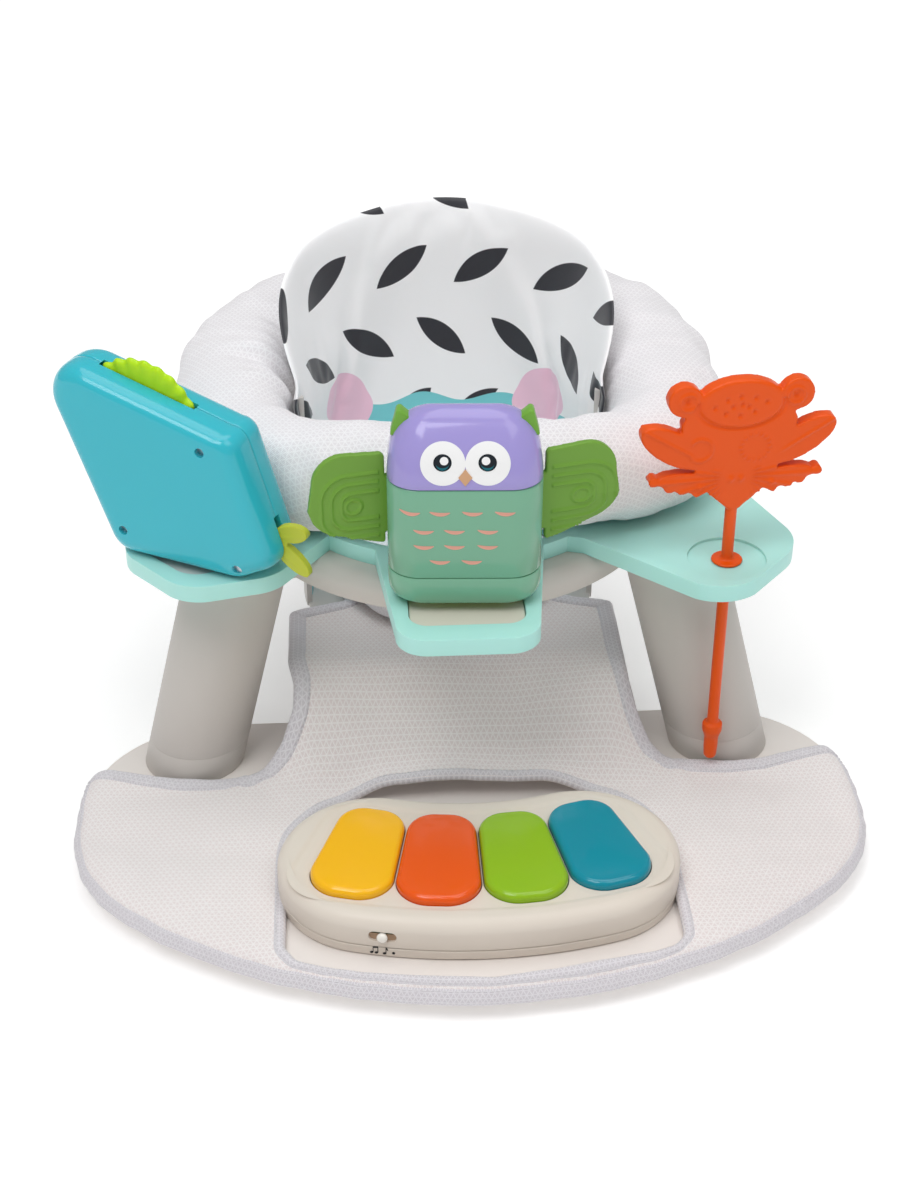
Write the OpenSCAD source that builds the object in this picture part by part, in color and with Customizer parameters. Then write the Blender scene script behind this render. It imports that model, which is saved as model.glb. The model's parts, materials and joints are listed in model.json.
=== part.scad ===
// Baby floor seat: a round padded seat on two front legs and a centre pedestal, with a tray of three
// toys, a floor plate, a padded foot mat and a foot piano with four keys.
// The origin lies on the floor, under the middle of the whole seat. -Y is the front.

/* [Base] */
// Radius of the front edge of the floor plate, about the ring's axis
base_r = 345; // [340:1:352]
// Width of the floor plate
base_w = 530; // [500:1:560]
// Height of the floor plate above its rubber feet
plate_h = 18; // [14:1:24]
// Height of the rubber feet
foot_h = 4; // [3:0.5:6]
// Radius of a rubber foot
foot_r = 14; // [10:1:18]
// Radius of the plate's rear corners
plate_corner_r = 90; // [70:1:110]
// Distance of the plate's rear edge in front of the ring's axis
plate_back = 60; // [50:1:70]
// Wall and deck of the plate and the frame's mouldings
wall = 3; // [2.5:0.25:4]

/* [Legs and seat frame] */
// Radius of a front leg
leg_r = 34; // [30:0.5:36]
// Sideways place of a leg at the plate
leg_foot_x = 188; // [182:1:196]
// Place of a leg in front of the ring's axis, at the plate
leg_foot_y = 96; // [92:1:102]
// Sideways place of a leg under the ring
leg_top_x = 150; // [144:1:158]
// Place of a leg in front of the ring's axis, under the ring
leg_top_y = 78; // [74:1:84]
// Height of the foot collar round a leg
collar_h = 20; // [16:1:26]
// Height of the tray's underside above the floor
tray_z = 189; // [180:1:200]
// Outer radius of the seat ring
ring_r = 147; // [143:1:150]
// Inner radius of the seat ring
ring_hole_r = 112; // [110:0.5:115]
// Height of the seat ring
ring_h = 18; // [16:1:20]
// How much longer the ring is than it is wide
ring_stretch = 24; // [16:1:32]
// Outer radius of the seat tub
tub_r = 108; // [104:0.5:109]
// Height of the seat tub's floor above the floor plate
pan_h = 62; // [54:1:70]
// Height of the tub's back above the tub's floor
tub_h = 172; // [160:1:184]
// Radius of the pedestal under the tub
pedestal_r = 92; // [84:1:96]

/* [Tray] */
// Thickness of the toy tray
tray_t = 12; // [11:0.5:14]
// Reach of the front lobe from the ring's axis
front_lobe_y = 223; // [216:1:230]
// Width of the front lobe at its root
front_lobe_w = 120; // [116:1:126]
// Depth of the recesses that hold the insert plates
recess_d = 6; // [5:0.5:7]
// Thickness of the insert plates
insert_t = 4; // [3:0.5:4.5]

/* [Fabric] */
// Half width of the padded ring, to the middle of its tube
bolster_x = 152; // [149:1:156]
// Half length of the padded ring's rear half, to the middle of its tube
bolster_back = 149.5; // [145:0.5:152]
// Half length of the padded ring's front half, to the middle of its tube
bolster_front = 108; // [105:1:111]
// Width of the padded tube
bolster_w = 82; // [78:1:84]
// Height of the padded tube
bolster_h = 72; // [68:1:78]
// Height of the back pad's top above the floor
pad_top = 350; // [335:1:360]
// Thickness of the back pad
pad_t = 22; // [18:1:26]
// Thickness of the foot mat and of the front panel
mat_t = 6; // [5:0.5:8]
// Half width of the front panel at the seat
panel_half = 118; // [112:1:122]

/* [Foot piano] */
// Radius of the piano's front edge, about the ring's axis
piano_front_r = 322; // [318:1:326]
// Radius of the piano's rear edge, about the ring's axis
piano_back_r = 193; // [189:1:196]
// Turn of each end of the piano from the middle
piano_turn = 15; // [14.5:0.25:16]
// Height of the piano above the plate
piano_h = 30; // [28:1:34]
// Length of a key
key_l = 88; // [84:1:90]
// Width of a key at its front
key_front_w = 53.4; // [52:0.2:54]
// Width of a key at its back
key_back_w = 44.6; // [43:0.2:45]
// Height of a key above the piano's top
key_rise = 5; // [4:0.5:7]
// Way a key goes down
key_travel = 2.5; // [2:0.25:3]
// Gap round each key
key_gap = 0.6; // [0.4:0.1:0.7]
// Way of the mode switch from its middle to each side
switch_travel = 5; // [4:0.25:6]

/* [Toys] */
// Height of the owl
owl_h = 133; // [128:1:138]
// Width of the owl at its widest
owl_w = 97; // [94:1:100]
// Depth of the owl at its deepest
owl_d = 60; // [56:1:64]
// Height of the seam between the owl's body and head above its foot
owl_neck_h = 90; // [88:1:93]
// Height of the owl's lower shell above its foot
owl_seam_h = 27; // [24:1:30]
// Reach of an owl's wing from its pin
wing_l = 57; // [52:1:60]
// Height of an owl's wing
wing_h = 66; // [62:1:70]
// Turn of the owl to the side
owl_turn = -3; // [-6:1:6]
// Turn of the wings in the resting pose
wing_turn = 15; // [0:1:18]
// Depth of the fish toy from back to front
fish_d = 44; // [42:1:46]
// Height of the fish toy
fish_h = 130; // [127:1:134]
// Radius of the fish's wheel
wheel_r = 44; // [42:0.5:44.5]
// Height of the frog's head top above the tray
frog_h = 135; // [130:1:140]
// Thickness of the frog
frog_t = 9; // [8:0.5:10]
// Radius of the frog's stem
stem_r = 4; // [3.5:0.25:4.5]
// Length of the frog's stem below the tray's top
stem_drop = 164; // [150:1:168]

/* [Fits] */
// Running clearance of a pin in its bore, on the radius
run = 0.05; // [0.03:0.01:0.08]
// Gap between fabric and hard parts
soft_gap = 0.3; // [0.25:0.05:0.5]
// Gap between moving shells
shell_gap = 0.5; // [0.4:0.1:0.8]
// Radius of the screws
screw_r = 1.75; // [1.5:0.05:2]

/* [Hidden] */
$fn = 64;

e = 0.01;
head_r = screw_r * 2;
head_h = 2.4;
screw_bite = 9;

// Front to back: the ring's axis lies ring_y behind the origin, so that the origin is under the middle.
well_y = ring_stretch;
rear = well_y + bolster_back + bolster_w / 2;
ring_y = (base_r - rear) / 2;

// The plate, the mat and the piano stand plate_x to the right of the ring's axis
plate_x = 5;
piano_x = plate_x;

// Heights
plate_top = foot_h + plate_h;
ring_z = tray_z - ring_h;
tray_top = tray_z + tray_t;
pan_z = plate_top + pan_h;
pan_top = pan_z + wall;

module at_ring(z = 0) translate([-plate_x, ring_y, z]) children();
module mirrored() { children(); mirror([1, 0, 0]) children(); }

// Points of an arc, for rounded outlines
function arc(x, y, r, a0, a1, n = 12) =
    [for (i = [0 : n]) let (a = a0 + (a1 - a0) * i / n) [x + r * cos(a), y + r * sin(a)]];

// Points of a turned ellipse
function ellipse(x, y, a, b, turn, n = 40) = [for (i = [0 : n - 1]) let (t = 360 * i / n,
    u = a * cos(t), v = b * sin(t)) [x + u * cos(turn) - v * sin(turn), y + u * sin(turn) + v * cos(turn)]];

// A power that keeps the sign, for rounded squares
function pw(v, k) = sign(v) * pow(abs(v), k);

// 0 below a, 1 above b, smooth between them
function smooth(v, a, b) = let (t = min(1, max(0, (v - a) / (b - a)))) t * t * (3 - 2 * t);

// A screw with its head at the origin, pointing up
module screw(length) {
    cylinder(r = head_r, h = head_h, $fn = 32);
    translate([0, 0, head_h - e]) cylinder(r = screw_r, h = length - head_h + e, $fn = 32);
}

// The hole for such a screw, through a piece of the given thickness
module screw_way(through) {
    translate([0, 0, -e]) cylinder(r = head_r + 0.3, h = head_h + e, $fn = 32);
    translate([0, 0, -e]) cylinder(r = screw_r + 0.25, h = through + 2 * e, $fn = 32);
}

/* Base plate -------------------------------------------------------------------------------------- */

front_corner_r = 110;
front_corner_y = -sqrt(pow(base_r - front_corner_r, 2) - pow(base_w / 2 - front_corner_r, 2));
shoulder_y = -plate_back - plate_corner_r;
rim_h = 10;
rim_in = 13;
tongue_r = pedestal_r + 10;
rib_t = 3;
rib_pitch = 48;

module plate_outline(inset = 0) {
    side = base_w / 2 - inset;
    rear_x = base_w / 2 - plate_corner_r;
    front_x = base_w / 2 - front_corner_r;
    turn = atan2(front_corner_y, front_x);
    rear_r = plate_corner_r - inset;
    front_r = front_corner_r - inset;
    tongue = tongue_r - inset;
    polygon(concat(
        arc(plate_x, 0, base_r - inset, -180 - turn, turn, 48),
        arc(plate_x + front_x, front_corner_y, front_r, turn, 0, 12),
        arc(plate_x + rear_x, shoulder_y, rear_r, 0, 90, 16),
        [[tongue, -plate_back - inset]], arc(0, well_y, tongue, 0, 180, 36), [[-tongue, -plate_back - inset]],
        arc(plate_x - rear_x, shoulder_y, rear_r, 90, 180, 16),
        arc(plate_x - front_x, front_corner_y, front_r, 180, 180 - turn, 12)));
}

// Places of the rubber feet under the plate
front_foot = [150, -sqrt(pow(base_r - 38, 2) - pow(150, 2))];
side_foot = [base_w / 2 - 39, shoulder_y - 10];
back_foot = [58, well_y + 56];
foot_places = [for (p = [front_foot, side_foot, back_foot]) for (s = [-1, 1]) [s * p[0], p[1]]];

// Places of the screws that come up through the plate
leg_screw_turn = [45, 225];
leg_screw_r = 20;
leg_places = [for (s = [-1, 1]) for (a = leg_screw_turn)
    [s * (leg_foot_x + leg_screw_r * cos(a)), -leg_foot_y + leg_screw_r * sin(a)]];
pedestal_boss_r = 8;
pedestal_screw_r = pedestal_r - wall - 1 - pedestal_boss_r;
pedestal_places = [for (a = [45 : 90 : 315])
    [pedestal_screw_r * cos(a), well_y + pedestal_screw_r * sin(a)]];
piano_mid_r = (piano_front_r + piano_back_r) / 2;
piano_end_r = (piano_front_r - piano_back_r) / 2;
post_r = 5;
piano_wall = 2.5;
end_post = [piano_mid_r * sin(piano_turn) + piano_end_r - piano_wall - post_r - 3, -piano_mid_r + 24];
front_post_r = piano_front_r - piano_wall - post_r - 0.5;
front_post_turn = 5;
piano_places = [for (s = [-1, 1]) for (p = [end_post, [front_post_r * sin(front_post_turn),
    -front_post_r * cos(front_post_turn)]]) [piano_x + s * p[0], p[1]]];
plate_holes = concat(leg_places, pedestal_places, piano_places);

module base_plate() {
    boss_r = 9;
    columns = ceil(base_w / 2 / rib_pitch);
    rows = ceil(base_r / rib_pitch);
    color("#c9c4c0") at_ring(foot_h) difference() {
        intersection() {
            linear_extrude(plate_h) plate_outline();
            translate([plate_x, 0, 0]) rotate_extrude($fn = 180) polygon([[0, -1], [base_r - rim_in, -1],
                [base_r - rim_in, 0], [base_r - rim_in * 0.45, rim_h * 0.25],
                [base_r - rim_in * 0.12, rim_h * 0.6],
                [base_r, rim_h], [base_r + 2, plate_h + 1], [0, plate_h + 1]]);
        }
        difference() {
            intersection() {
                translate([0, 0, -1]) linear_extrude(plate_h - wall + 1) plate_outline(rim_in + wall);
                for (x = [-columns : columns - 1], y = [-rows : 3])
                    translate([x * rib_pitch + rib_t / 2, y * rib_pitch + rib_t / 2, -2])
                        cube([rib_pitch - rib_t, rib_pitch - rib_t, plate_h]);
            }
            for (p = foot_places) translate([p[0], p[1], -2]) cylinder(r = foot_r + 1, h = plate_h + 2);
            for (p = plate_holes) translate([p[0], p[1], -2]) cylinder(r = boss_r, h = plate_h + 2);
        }
        for (p = plate_holes) translate(p) screw_way(plate_h);
    }
}

module base_feet() {
    color("#55585a") for (p = foot_places) at_ring() translate(p) cylinder(r = foot_r, h = foot_h);
}

/* Legs -------------------------------------------------------------------------------------------- */

leg_rise = ring_z - plate_top;
leg_lean_x = (leg_top_x - leg_foot_x) / leg_rise;
leg_lean_y = (leg_foot_y - leg_top_y) / leg_rise;
collar_top = plate_top + collar_h;
leg_cap = 6;
pilot_l = screw_bite + 1;
arm_turn = atan2(leg_top_y, leg_top_x);
frame_places = [for (s = [-1, 1]) for (a = [8, 188])
    [s * (leg_top_x + leg_screw_r * cos(a)), -leg_top_y + leg_screw_r * sin(a)]];

// A round column along a leg's axis, cut level at the heights z0 and z1
module leg_column(r, z0, z1) {
    length = norm([leg_lean_x, leg_lean_y, 1]);
    side = atan2(leg_lean_y, leg_lean_x);
    reach = 40;
    intersection() {
        translate([leg_foot_x, -leg_foot_y, plate_top])
            rotate([0, acos(1 / length), side]) rotate([0, 0, 90]) translate([0, 0, -reach])
                cylinder(r = r, h = leg_rise * length + 2 * reach, $fn = 96);
        translate([0, -leg_foot_y - 200, z0]) cube([400, 400, z1 - z0]);
    }
}

module leg_foot() {
    difference() {
        leg_column(leg_r, plate_top, collar_top);
        for (p = leg_places) translate([p[0], p[1], plate_top - 1])
            cylinder(r = screw_r + 0.25, h = collar_h + 2, $fn = 32);
    }
}

// A leg is a tube with a cross of ribs inside and a thick cap at each end
module leg() {
    rib = 4;
    difference() {
        leg_column(leg_r, collar_top, ring_z);
        difference() {
            leg_column(leg_r - wall - 1, collar_top + leg_cap + pilot_l, ring_z - leg_cap - pilot_l);
            translate([leg_top_x - 60, -(leg_top_y + leg_foot_y + rib) / 2, 0]) cube([160, rib, tray_z]);
            translate([(leg_top_x + leg_foot_x - rib) / 2, -200, 0]) cube([rib, 200, tray_z]);
        }
        for (p = leg_places) translate([p[0], p[1], collar_top - e])
            cylinder(r = screw_r, h = pilot_l, $fn = 32);
        for (p = frame_places) translate([p[0], p[1], ring_z - pilot_l])
            cylinder(r = screw_r, h = pilot_l + e, $fn = 32);
    }
}

module leg_foot_left() { color("#bdb7b1") at_ring() mirror([1, 0, 0]) leg_foot(); }
module leg_foot_right() { color("#bdb7b1") at_ring() leg_foot(); }
module leg_left() { color("#c6c0ba") at_ring() mirror([1, 0, 0]) leg(); }
module leg_right() { color("#c6c0ba") at_ring() leg(); }

module leg_screws() {
    color("silver") at_ring(foot_h) for (p = leg_places) translate(p) screw(plate_h + collar_h + screw_bite);
}

/* Seat ring --------------------------------------------------------------------------------------- */

arm_r = leg_r + 2;
ring_shoulder = ring_h * 0.6;

// A stadium outline: two circles, ring_stretch apart
module stadium(r) {
    circle(r = r, $fn = 128);
    translate([0, ring_stretch]) circle(r = r, $fn = 128);
    translate([-r, 0]) square([2 * r, ring_stretch]);
}

// Section of the ring: a flat top, a round shoulder and a level underside
module ring_section() {
    polygon(concat([[ring_hole_r, 0], [ring_r, 0]],
        arc(ring_r - ring_shoulder, ring_h - ring_shoulder, ring_shoulder, 0, 90, 10),
        [[ring_hole_r, ring_h]]));
}

module ring_body() {
    rotate([0, 0, 180]) rotate_extrude(angle = 180, $fn = 128) ring_section();
    translate([0, ring_stretch]) rotate_extrude(angle = 180, $fn = 128) ring_section();
    mirrored() translate([0, ring_stretch]) rotate([90, 0, 0]) linear_extrude(ring_stretch) ring_section();
    mirrored() linear_extrude(ring_h) difference() {
        rotate([0, 0, -arm_turn])
            polygon(concat(arc(norm([leg_top_x, leg_top_y]), 0, arm_r, -90, 90, 40),
                [[0, arm_r], [0, -arm_r]]));
        circle(r = ring_hole_r + 8, $fn = 128);
    }
}

module seat_ring() {
    color("#c6c0ba") difference() {
        at_ring(ring_z) ring_body();
        for (p = frame_places) at_ring(tray_z) translate(p) mirror([0, 0, 1]) screw_way(ring_h);
        for (p = tray_places) at_ring(ring_z) translate(p) screw_way(ring_h);
        for (p = tub_places) at_ring(ring_z - e) translate(p) cylinder(r = screw_r, h = pilot_l, $fn = 32);
    }
}

module frame_screws() {
    color("silver") for (p = frame_places)
        at_ring(tray_z) translate(p) mirror([0, 0, 1]) screw(ring_h + screw_bite);
}

/* Seat tub ---------------------------------------------------------------------------------------- */

tub_turn = 205;
tub_wall = wall + 1;
flange_r = ring_r - 8;
tub_screw_r = (tub_r + flange_r) / 2 + 3;
tub_places = [for (a = [18, 62, 118, 162]) [tub_screw_r * cos(a), well_y + tub_screw_r * sin(a)]];

module seat_tub() {
    color("#d3cfcb") difference() {
        at_ring() translate([0, well_y, 0]) {
            translate([0, 0, pan_z]) cylinder(r = tub_r - 1, h = wall, $fn = 128);
            translate([0, 0, pan_z]) rotate([0, 0, 90 - tub_turn / 2])
                rotate_extrude(angle = tub_turn, $fn = 128)
                translate([tub_r - tub_wall, 0]) square([tub_wall, tub_h]);
            translate([0, 0, ring_z - wall]) rotate([0, 0, 5]) rotate_extrude(angle = 170, $fn = 128)
                translate([tub_r - 1, 0]) square([flange_r - tub_r + 1, wall]);
            translate([0, 0, plate_top]) difference() {
                cylinder(r = pedestal_r, h = pan_h + e, $fn = 128);
                translate([0, 0, -e]) cylinder(r = pedestal_r - tub_wall, h = pan_h + e, $fn = 128);
            }
            translate([0, -well_y, plate_top]) for (p = pedestal_places)
                translate(p) cylinder(r = pedestal_boss_r + 1, h = pan_h + e, $fn = 48);
        }
        for (p = tub_places) at_ring(ring_z - wall - e) translate(p)
            cylinder(r = screw_r + 0.25, h = wall + 2 * e, $fn = 32);
        for (p = pedestal_places) at_ring(plate_top - e) translate(p)
            cylinder(r = screw_r, h = pilot_l, $fn = 32);
    }
}

module tub_screws() {
    color("silver") {
        for (p = tub_places) at_ring(ring_z - wall - head_h) translate(p) screw(head_h + wall + screw_bite);
        for (p = pedestal_places) at_ring(foot_h) translate(p) screw(plate_h + screw_bite);
    }
}

/* Toy tray ---------------------------------------------------------------------------------------- */

annulus_in = ring_hole_r + 7;
annulus_front = ring_r - 20;
annulus_back = ring_r + 3;
lobe_corner = 20;
frog_place = [175, -137];
frog_recess_r = 26;
frog_recess_d = 2;
tray_bite = 3.5;
tray_screw_places = [[leg_top_x - 4, -leg_top_y - 22], [26, 18 - leg_top_x], [96, well_y + 96]];
tray_places = [for (s = [-1, 1]) for (p = tray_screw_places) [s * p[0], p[1]]];
owl_y = -162;
owl_post_r = 8;
fish_turn = -118;
fish_foot = [-189, -130];
fish_post_r = 7;
fish_post_x = 2;
fish_post_z = 12;
fish_post_y = fish_d - fish_post_z;
fish_post = [fish_foot[0] - fish_post_x * sin(fish_turn) - fish_post_y * cos(fish_turn),
    fish_foot[1] + fish_post_x * cos(fish_turn) - fish_post_y * sin(fish_turn)];
hole_gap = 0.3;

module front_lobe() {
    tip_half = 46;
    root = -80;
    polygon(concat([[front_lobe_w / 2, root]],
        arc(tip_half - lobe_corner, -front_lobe_y + lobe_corner, lobe_corner, 0, -90),
        arc(-tip_half + lobe_corner, -front_lobe_y + lobe_corner, lobe_corner, -90, -180),
        [[-front_lobe_w / 2, root]]));
}

// The fish's lobe: a broad rounded corner turned towards the front left
module fish_lobe() {
    polygon(concat(arc(-192, -98, 30, 100, 215), arc(-170, -123, 30, 215, 280),
        arc(-140, -116, 30, 280, 325), [[-70, -70], [-130, 20], [-175, -30]]));
}

// The frog's lobe: a rounded triangle turned towards the front right
module frog_lobe() {
    polygon(concat([[60, -100], [84, -107]], arc(168, -138, 34, -122, -50), arc(190, -112, 34, -40, 22),
        [[194, -30], [130, 30], [90, 0]]));
}

module fish_insert_outline(grow = 0) {
    polygon(concat(arc(-192, -96, 20 + grow, 60, 215), arc(-172, -117, 20 + grow, 215, 275),
        arc(-147, -112, 18 + grow, 275, 400)));
}

module owl_insert_outline(grow = 0) {
    half = 37 + grow;
    r = 12 + grow;
    front = -206 - grow;
    back = -136 + grow;
    polygon(concat(arc(half - r, front + r, r, 0, -90), arc(-half + r, front + r, r, -90, -180),
        arc(-half + r, back - r, r, 180, 90), arc(half - r, back - r, r, 90, 0)));
}

module annulus() {
    stadium(annulus_front);
    intersection() {
        stadium(annulus_back);
        translate([-200, -1]) square([400, 400]);
    }
}

// The ring and its three lobes, round the seat's hole
module tray_body() {
    difference() {
        union() {
            linear_extrude(tray_t) annulus();
            linear_extrude(tray_t) front_lobe();
            linear_extrude(tray_t) fish_lobe();
            linear_extrude(tray_t) frog_lobe();
        }
        translate([0, 0, -1]) linear_extrude(tray_t + 2) stadium(annulus_in);
    }
}

module toy_tray() {
    color("#c3f0eb") difference() {
        at_ring(tray_z) tray_body();
        at_ring(tray_top - recess_d) {
            linear_extrude(recess_d + 1) fish_insert_outline(hole_gap);
            linear_extrude(recess_d + 1) owl_insert_outline(hole_gap);
        }
        at_ring(tray_top - frog_recess_d) translate(frog_place)
            cylinder(r = frog_recess_r, h = frog_recess_d + 1);
        at_ring(tray_z - 1) {
            translate(frog_place) cylinder(r = stem_r + run, h = tray_t + 2, $fn = 48);
            translate([0, owl_y]) cylinder(r = owl_post_r + hole_gap, h = tray_t, $fn = 48);
            translate(fish_post) cylinder(r = fish_post_r + hole_gap, h = tray_t, $fn = 48);
        }
        for (p = tray_places) at_ring(tray_z - e) translate(p)
            cylinder(r = screw_r, h = tray_bite + 0.5, $fn = 32);
    }
}

module tray_screws() {
    color("silver") for (p = tray_places) at_ring(ring_z) translate(p) screw(ring_h + tray_bite);
}

module fish_insert() {
    color("#bcb8b4") at_ring(tray_top - recess_d) difference() {
        linear_extrude(insert_t) fish_insert_outline();
        translate(fish_post) translate([0, 0, -1])
            cylinder(r = fish_post_r + hole_gap, h = insert_t + 2, $fn = 48);
    }
}

module owl_insert() {
    color("#ddd6ca") at_ring(tray_top - recess_d) difference() {
        linear_extrude(insert_t) owl_insert_outline();
        translate([0, owl_y, -1]) cylinder(r = owl_post_r + hole_gap, h = insert_t + 2, $fn = 48);
    }
}

/* Soft cover -------------------------------------------------------------------------------------- */

// Faces of a grid of points: `rings` rings of `sides` points each, joined in turn
function tube_faces(rings, sides, closed) = [
    for (i = [0 : rings - (closed ? 1 : 2)]) for (j = [0 : sides - 1])
        let (a = i * sides, b = ((i + 1) % rings) * sides, k = (j + 1) % sides)
        each [[a + j, a + k, b + j], [a + k, b + k, b + j]]];
// End of a flat tube: its first half of points lies opposite its second half
function flat_cap(start, sides, flip) = [
    for (j = [0 : sides / 2 - 2]) let (a = start + j, b = start + j + 1,
        c = start + sides - 2 - j, d = start + sides - 1 - j)
        each flip ? [[a, c, b], [a, d, c]] : [[a, b, c], [a, c, d]]];

// Padded ring: a rounded path, a tube with a flat base, drawn in at its hem and higher at the back
bolster_base = tray_top + soft_gap;
bolster_rise = 10;
bolster_rings = 60;
bolster_sides = 18;
bolster_round = 2.4;
bolster_blunt = 3.8;

// Distance of the tube's middle from the well's axis, round a rounded square that is blunter in front
function bolster_path(a) =
    let (front = sin(a) < 0, k = front ? bolster_blunt : bolster_round,
        half = front ? bolster_front : bolster_back)
    pow(pow(abs(cos(a)) / bolster_x, k) + pow(abs(sin(a)) / half, k), -1 / k);
function bolster_point(a, t) =
    let (crown = bolster_h + bolster_rise * (1 + sin(a)) / 2,
        half = bolster_w / 2 * (1 - 0.1 * smooth(-sin(a), 0, 0.7)),
        out = pw(cos(t), 0.9) * half * (1 - 0.12 * smooth(-sin(t), 0.5, 1)),
        up = (pw(sin(t), 0.8) + 1) * crown / 2)
    [(bolster_path(a) + out) * cos(a), well_y + (bolster_path(a) + out) * sin(a), bolster_base + up];

module ring_bolster() {
    color("#dedad9") at_ring() polyhedron(
        points = [for (i = [0 : bolster_rings - 1]) for (j = [0 : bolster_sides - 1])
            bolster_point(360 * i / bolster_rings, 360 * j / bolster_sides)],
        faces = tube_faces(bolster_rings, bolster_sides, true), convexity = 6);
}

// Back pad: a curved cushion that lines the tub and stands up behind the child
pad_r = tub_r - tub_wall - soft_gap;
pad_flare = 14;
pad_edge = 4;
pad_base = pan_top + soft_gap;
pad_half_turn = 100;
pad_columns = 36;
pad_rows = 12;

function pad_height(s) = pad_top - pad_base - 62 * pow(abs(s), 2.2) - 34 * pow(abs(s), 8);
function pad_outer(z) = pad_r + pad_flare * smooth(z, bolster_base + 66, bolster_base + 106);
// s runs from -1 to 1 round the pad and h from 0 to 1 up it; the pad is thickest in its middle
function pad_point(s, h, inner) =
    let (z = pad_base + pad_height(s) * h,
        swell = sqrt(max(0, (1 - pow(abs(s), 6)) * (1 - pow(abs(2 * h - 1), 6)))),
        r = pad_outer(z) - (inner ? pad_edge + (pad_t - pad_edge) * swell : 0),
        a = 90 - s * pad_half_turn)
    [r * cos(a), well_y + r * sin(a), z];

module backrest_pad() {
    sides = 2 * (pad_rows + 1);
    color("#e6e4e4") at_ring() polyhedron(
        points = [for (i = [0 : pad_columns]) let (s = 2 * i / pad_columns - 1) each concat(
            [for (j = [0 : pad_rows]) pad_point(s, j / pad_rows, true)],
            [for (j = [pad_rows : -1 : 0]) pad_point(s, j / pad_rows, false)])],
        faces = concat(tube_faces(pad_columns + 1, sides, false), flat_cap(0, sides, true),
            flat_cap(pad_columns * sides, sides, false)), convexity = 6);
}

// Seat cushion: round, with a crown, on the tub's floor
cushion_r = pad_r - pad_t - 2 * soft_gap;
cushion_h = 20;
cushion_rings = 36;

module seat_cushion() {
    profile = [[0, 0], [0.93, 0], [1, 0.25], [0.98, 0.5], [0.88, 0.75], [0.6, 0.93], [0, 1]];
    color("#dedad9") at_ring(pan_top + mat_t + 2 * soft_gap) translate([0, well_y, 0])
        rotate_extrude($fn = cushion_rings) polygon([for (p = profile) [p[0] * cushion_r, p[1] * cushion_h]]);
}

// Seat liner and front panel in one: from the back pad over the tub's floor, then between the legs to the mat
mat_z = plate_top + soft_gap;
panel_steps = 24;
panel_columns = 24;
panel_back_y = well_y + 0.85 * cushion_r;
panel_front_y = -154;
panel_fold = 1.2;
panel_top = pan_top + soft_gap;
panel_wide_y = -4;

// The panel is as wide as the cushion inside the tub and panel_half wide in front of it
function panel_width(y) = let (seat = sqrt(max(0, pow(cushion_r, 2) - pow(y - well_y, 2))))
    seat + (panel_half - seat) * smooth(-y, -panel_wide_y, 16 - panel_wide_y)
    + 26 * pow(smooth(-y, 60, -panel_front_y), 2);
// u runs from 0 at the back pad to 1 at the mat, v from -1 to 1 across
function panel_point(u, v, upper) =
    let (y = panel_back_y + (panel_front_y - panel_back_y) * u,
        fall = smooth(y, panel_front_y - 6, well_y - tub_r + 2),
        wave = smooth(-y, 70, 90) * (1 - smooth(-y, 125, 150)) * (1 - pow(v, 4)),
        fold = panel_fold * (1 + cos(v * 540 + u * 140)) * wave)
    [v * panel_width(y), y, mat_z + (panel_top - mat_z) * fall + fold + (upper ? mat_t - 2 * pow(v, 6) : 0)];

module seat_panel() {
    sides = 2 * (panel_columns + 1);
    color("#d9d4d2") at_ring() polyhedron(
        points = [for (i = [0 : panel_steps]) let (u = i / panel_steps) each concat(
            [for (j = [0 : panel_columns]) panel_point(u, 2 * j / panel_columns - 1, true)],
            [for (j = [panel_columns : -1 : 0]) panel_point(u, 2 * j / panel_columns - 1, false)])],
        faces = concat(tube_faces(panel_steps + 1, sides, false), flat_cap(0, sides, true),
            flat_cap(panel_steps * sides, sides, false)), convexity = 6);
}

// Foot mat: lies on the plate, cut out round the piano and the legs
mat_back_y = -118;
mat_leg_gap = 7;
mat_crown = 1.5;
mat_hem = 20;

// The opening for the piano: a round arch behind it, straight sides, and the front hem across
module mat_opening(grow = 0) {
    arch_r = 65;
    arch_x = piano_x + 68.5;
    arch_y = -222;
    intersection() {
        translate([plate_x, 0]) circle(r = base_r - mat_hem + grow, $fn = 180);
        polygon(concat([[piano_x + 127 + grow, -base_r]], arc(arch_x, arch_y, arch_r + grow, 0, 90, 16),
            arc(2 * piano_x - arch_x, arch_y, arch_r + grow, 90, 180, 16),
            [[piano_x - 127 - grow, -base_r]]));
    }
}

module mat_outline(inset = 0) {
    difference() {
        plate_outline(1 + inset);
        translate([-base_w, mat_back_y - inset]) square([2 * base_w, base_w]);
        mirrored() translate([leg_foot_x, -leg_foot_y]) circle(r = leg_r + mat_leg_gap + inset, $fn = 48);
        translate([-panel_half - 30 - inset, panel_front_y - 0.5 - inset])
            square([2 * (panel_half + 30 + inset), base_w]);
        mat_opening(inset);
    }
}

module foot_mat() {
    color("#dcd8d7") at_ring(mat_z) {
        linear_extrude(mat_t - mat_crown) mat_outline();
        translate([0, 0, mat_t - mat_crown - e]) linear_extrude(mat_crown + e) mat_outline(2.5);
    }
}

/* Foot piano -------------------------------------------------------------------------------------- */

piano_z = plate_top;
piano_split = 8;
piano_top = piano_z + piano_h;
key_mid_r = 289;
key_front_round = 22;
key_back_round = 18;
key_flange = 0.8;
key_fan = [piano_x, key_mid_r - piano_mid_r + 1.5];
key_pitch = 2 * asin((key_front_w / 2 + key_flange + 0.4) / (key_mid_r + key_l / 2 - key_front_round));
key_colours = ["#ffc00a", "#f25500", "#98c014", "#0091a5"];

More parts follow.
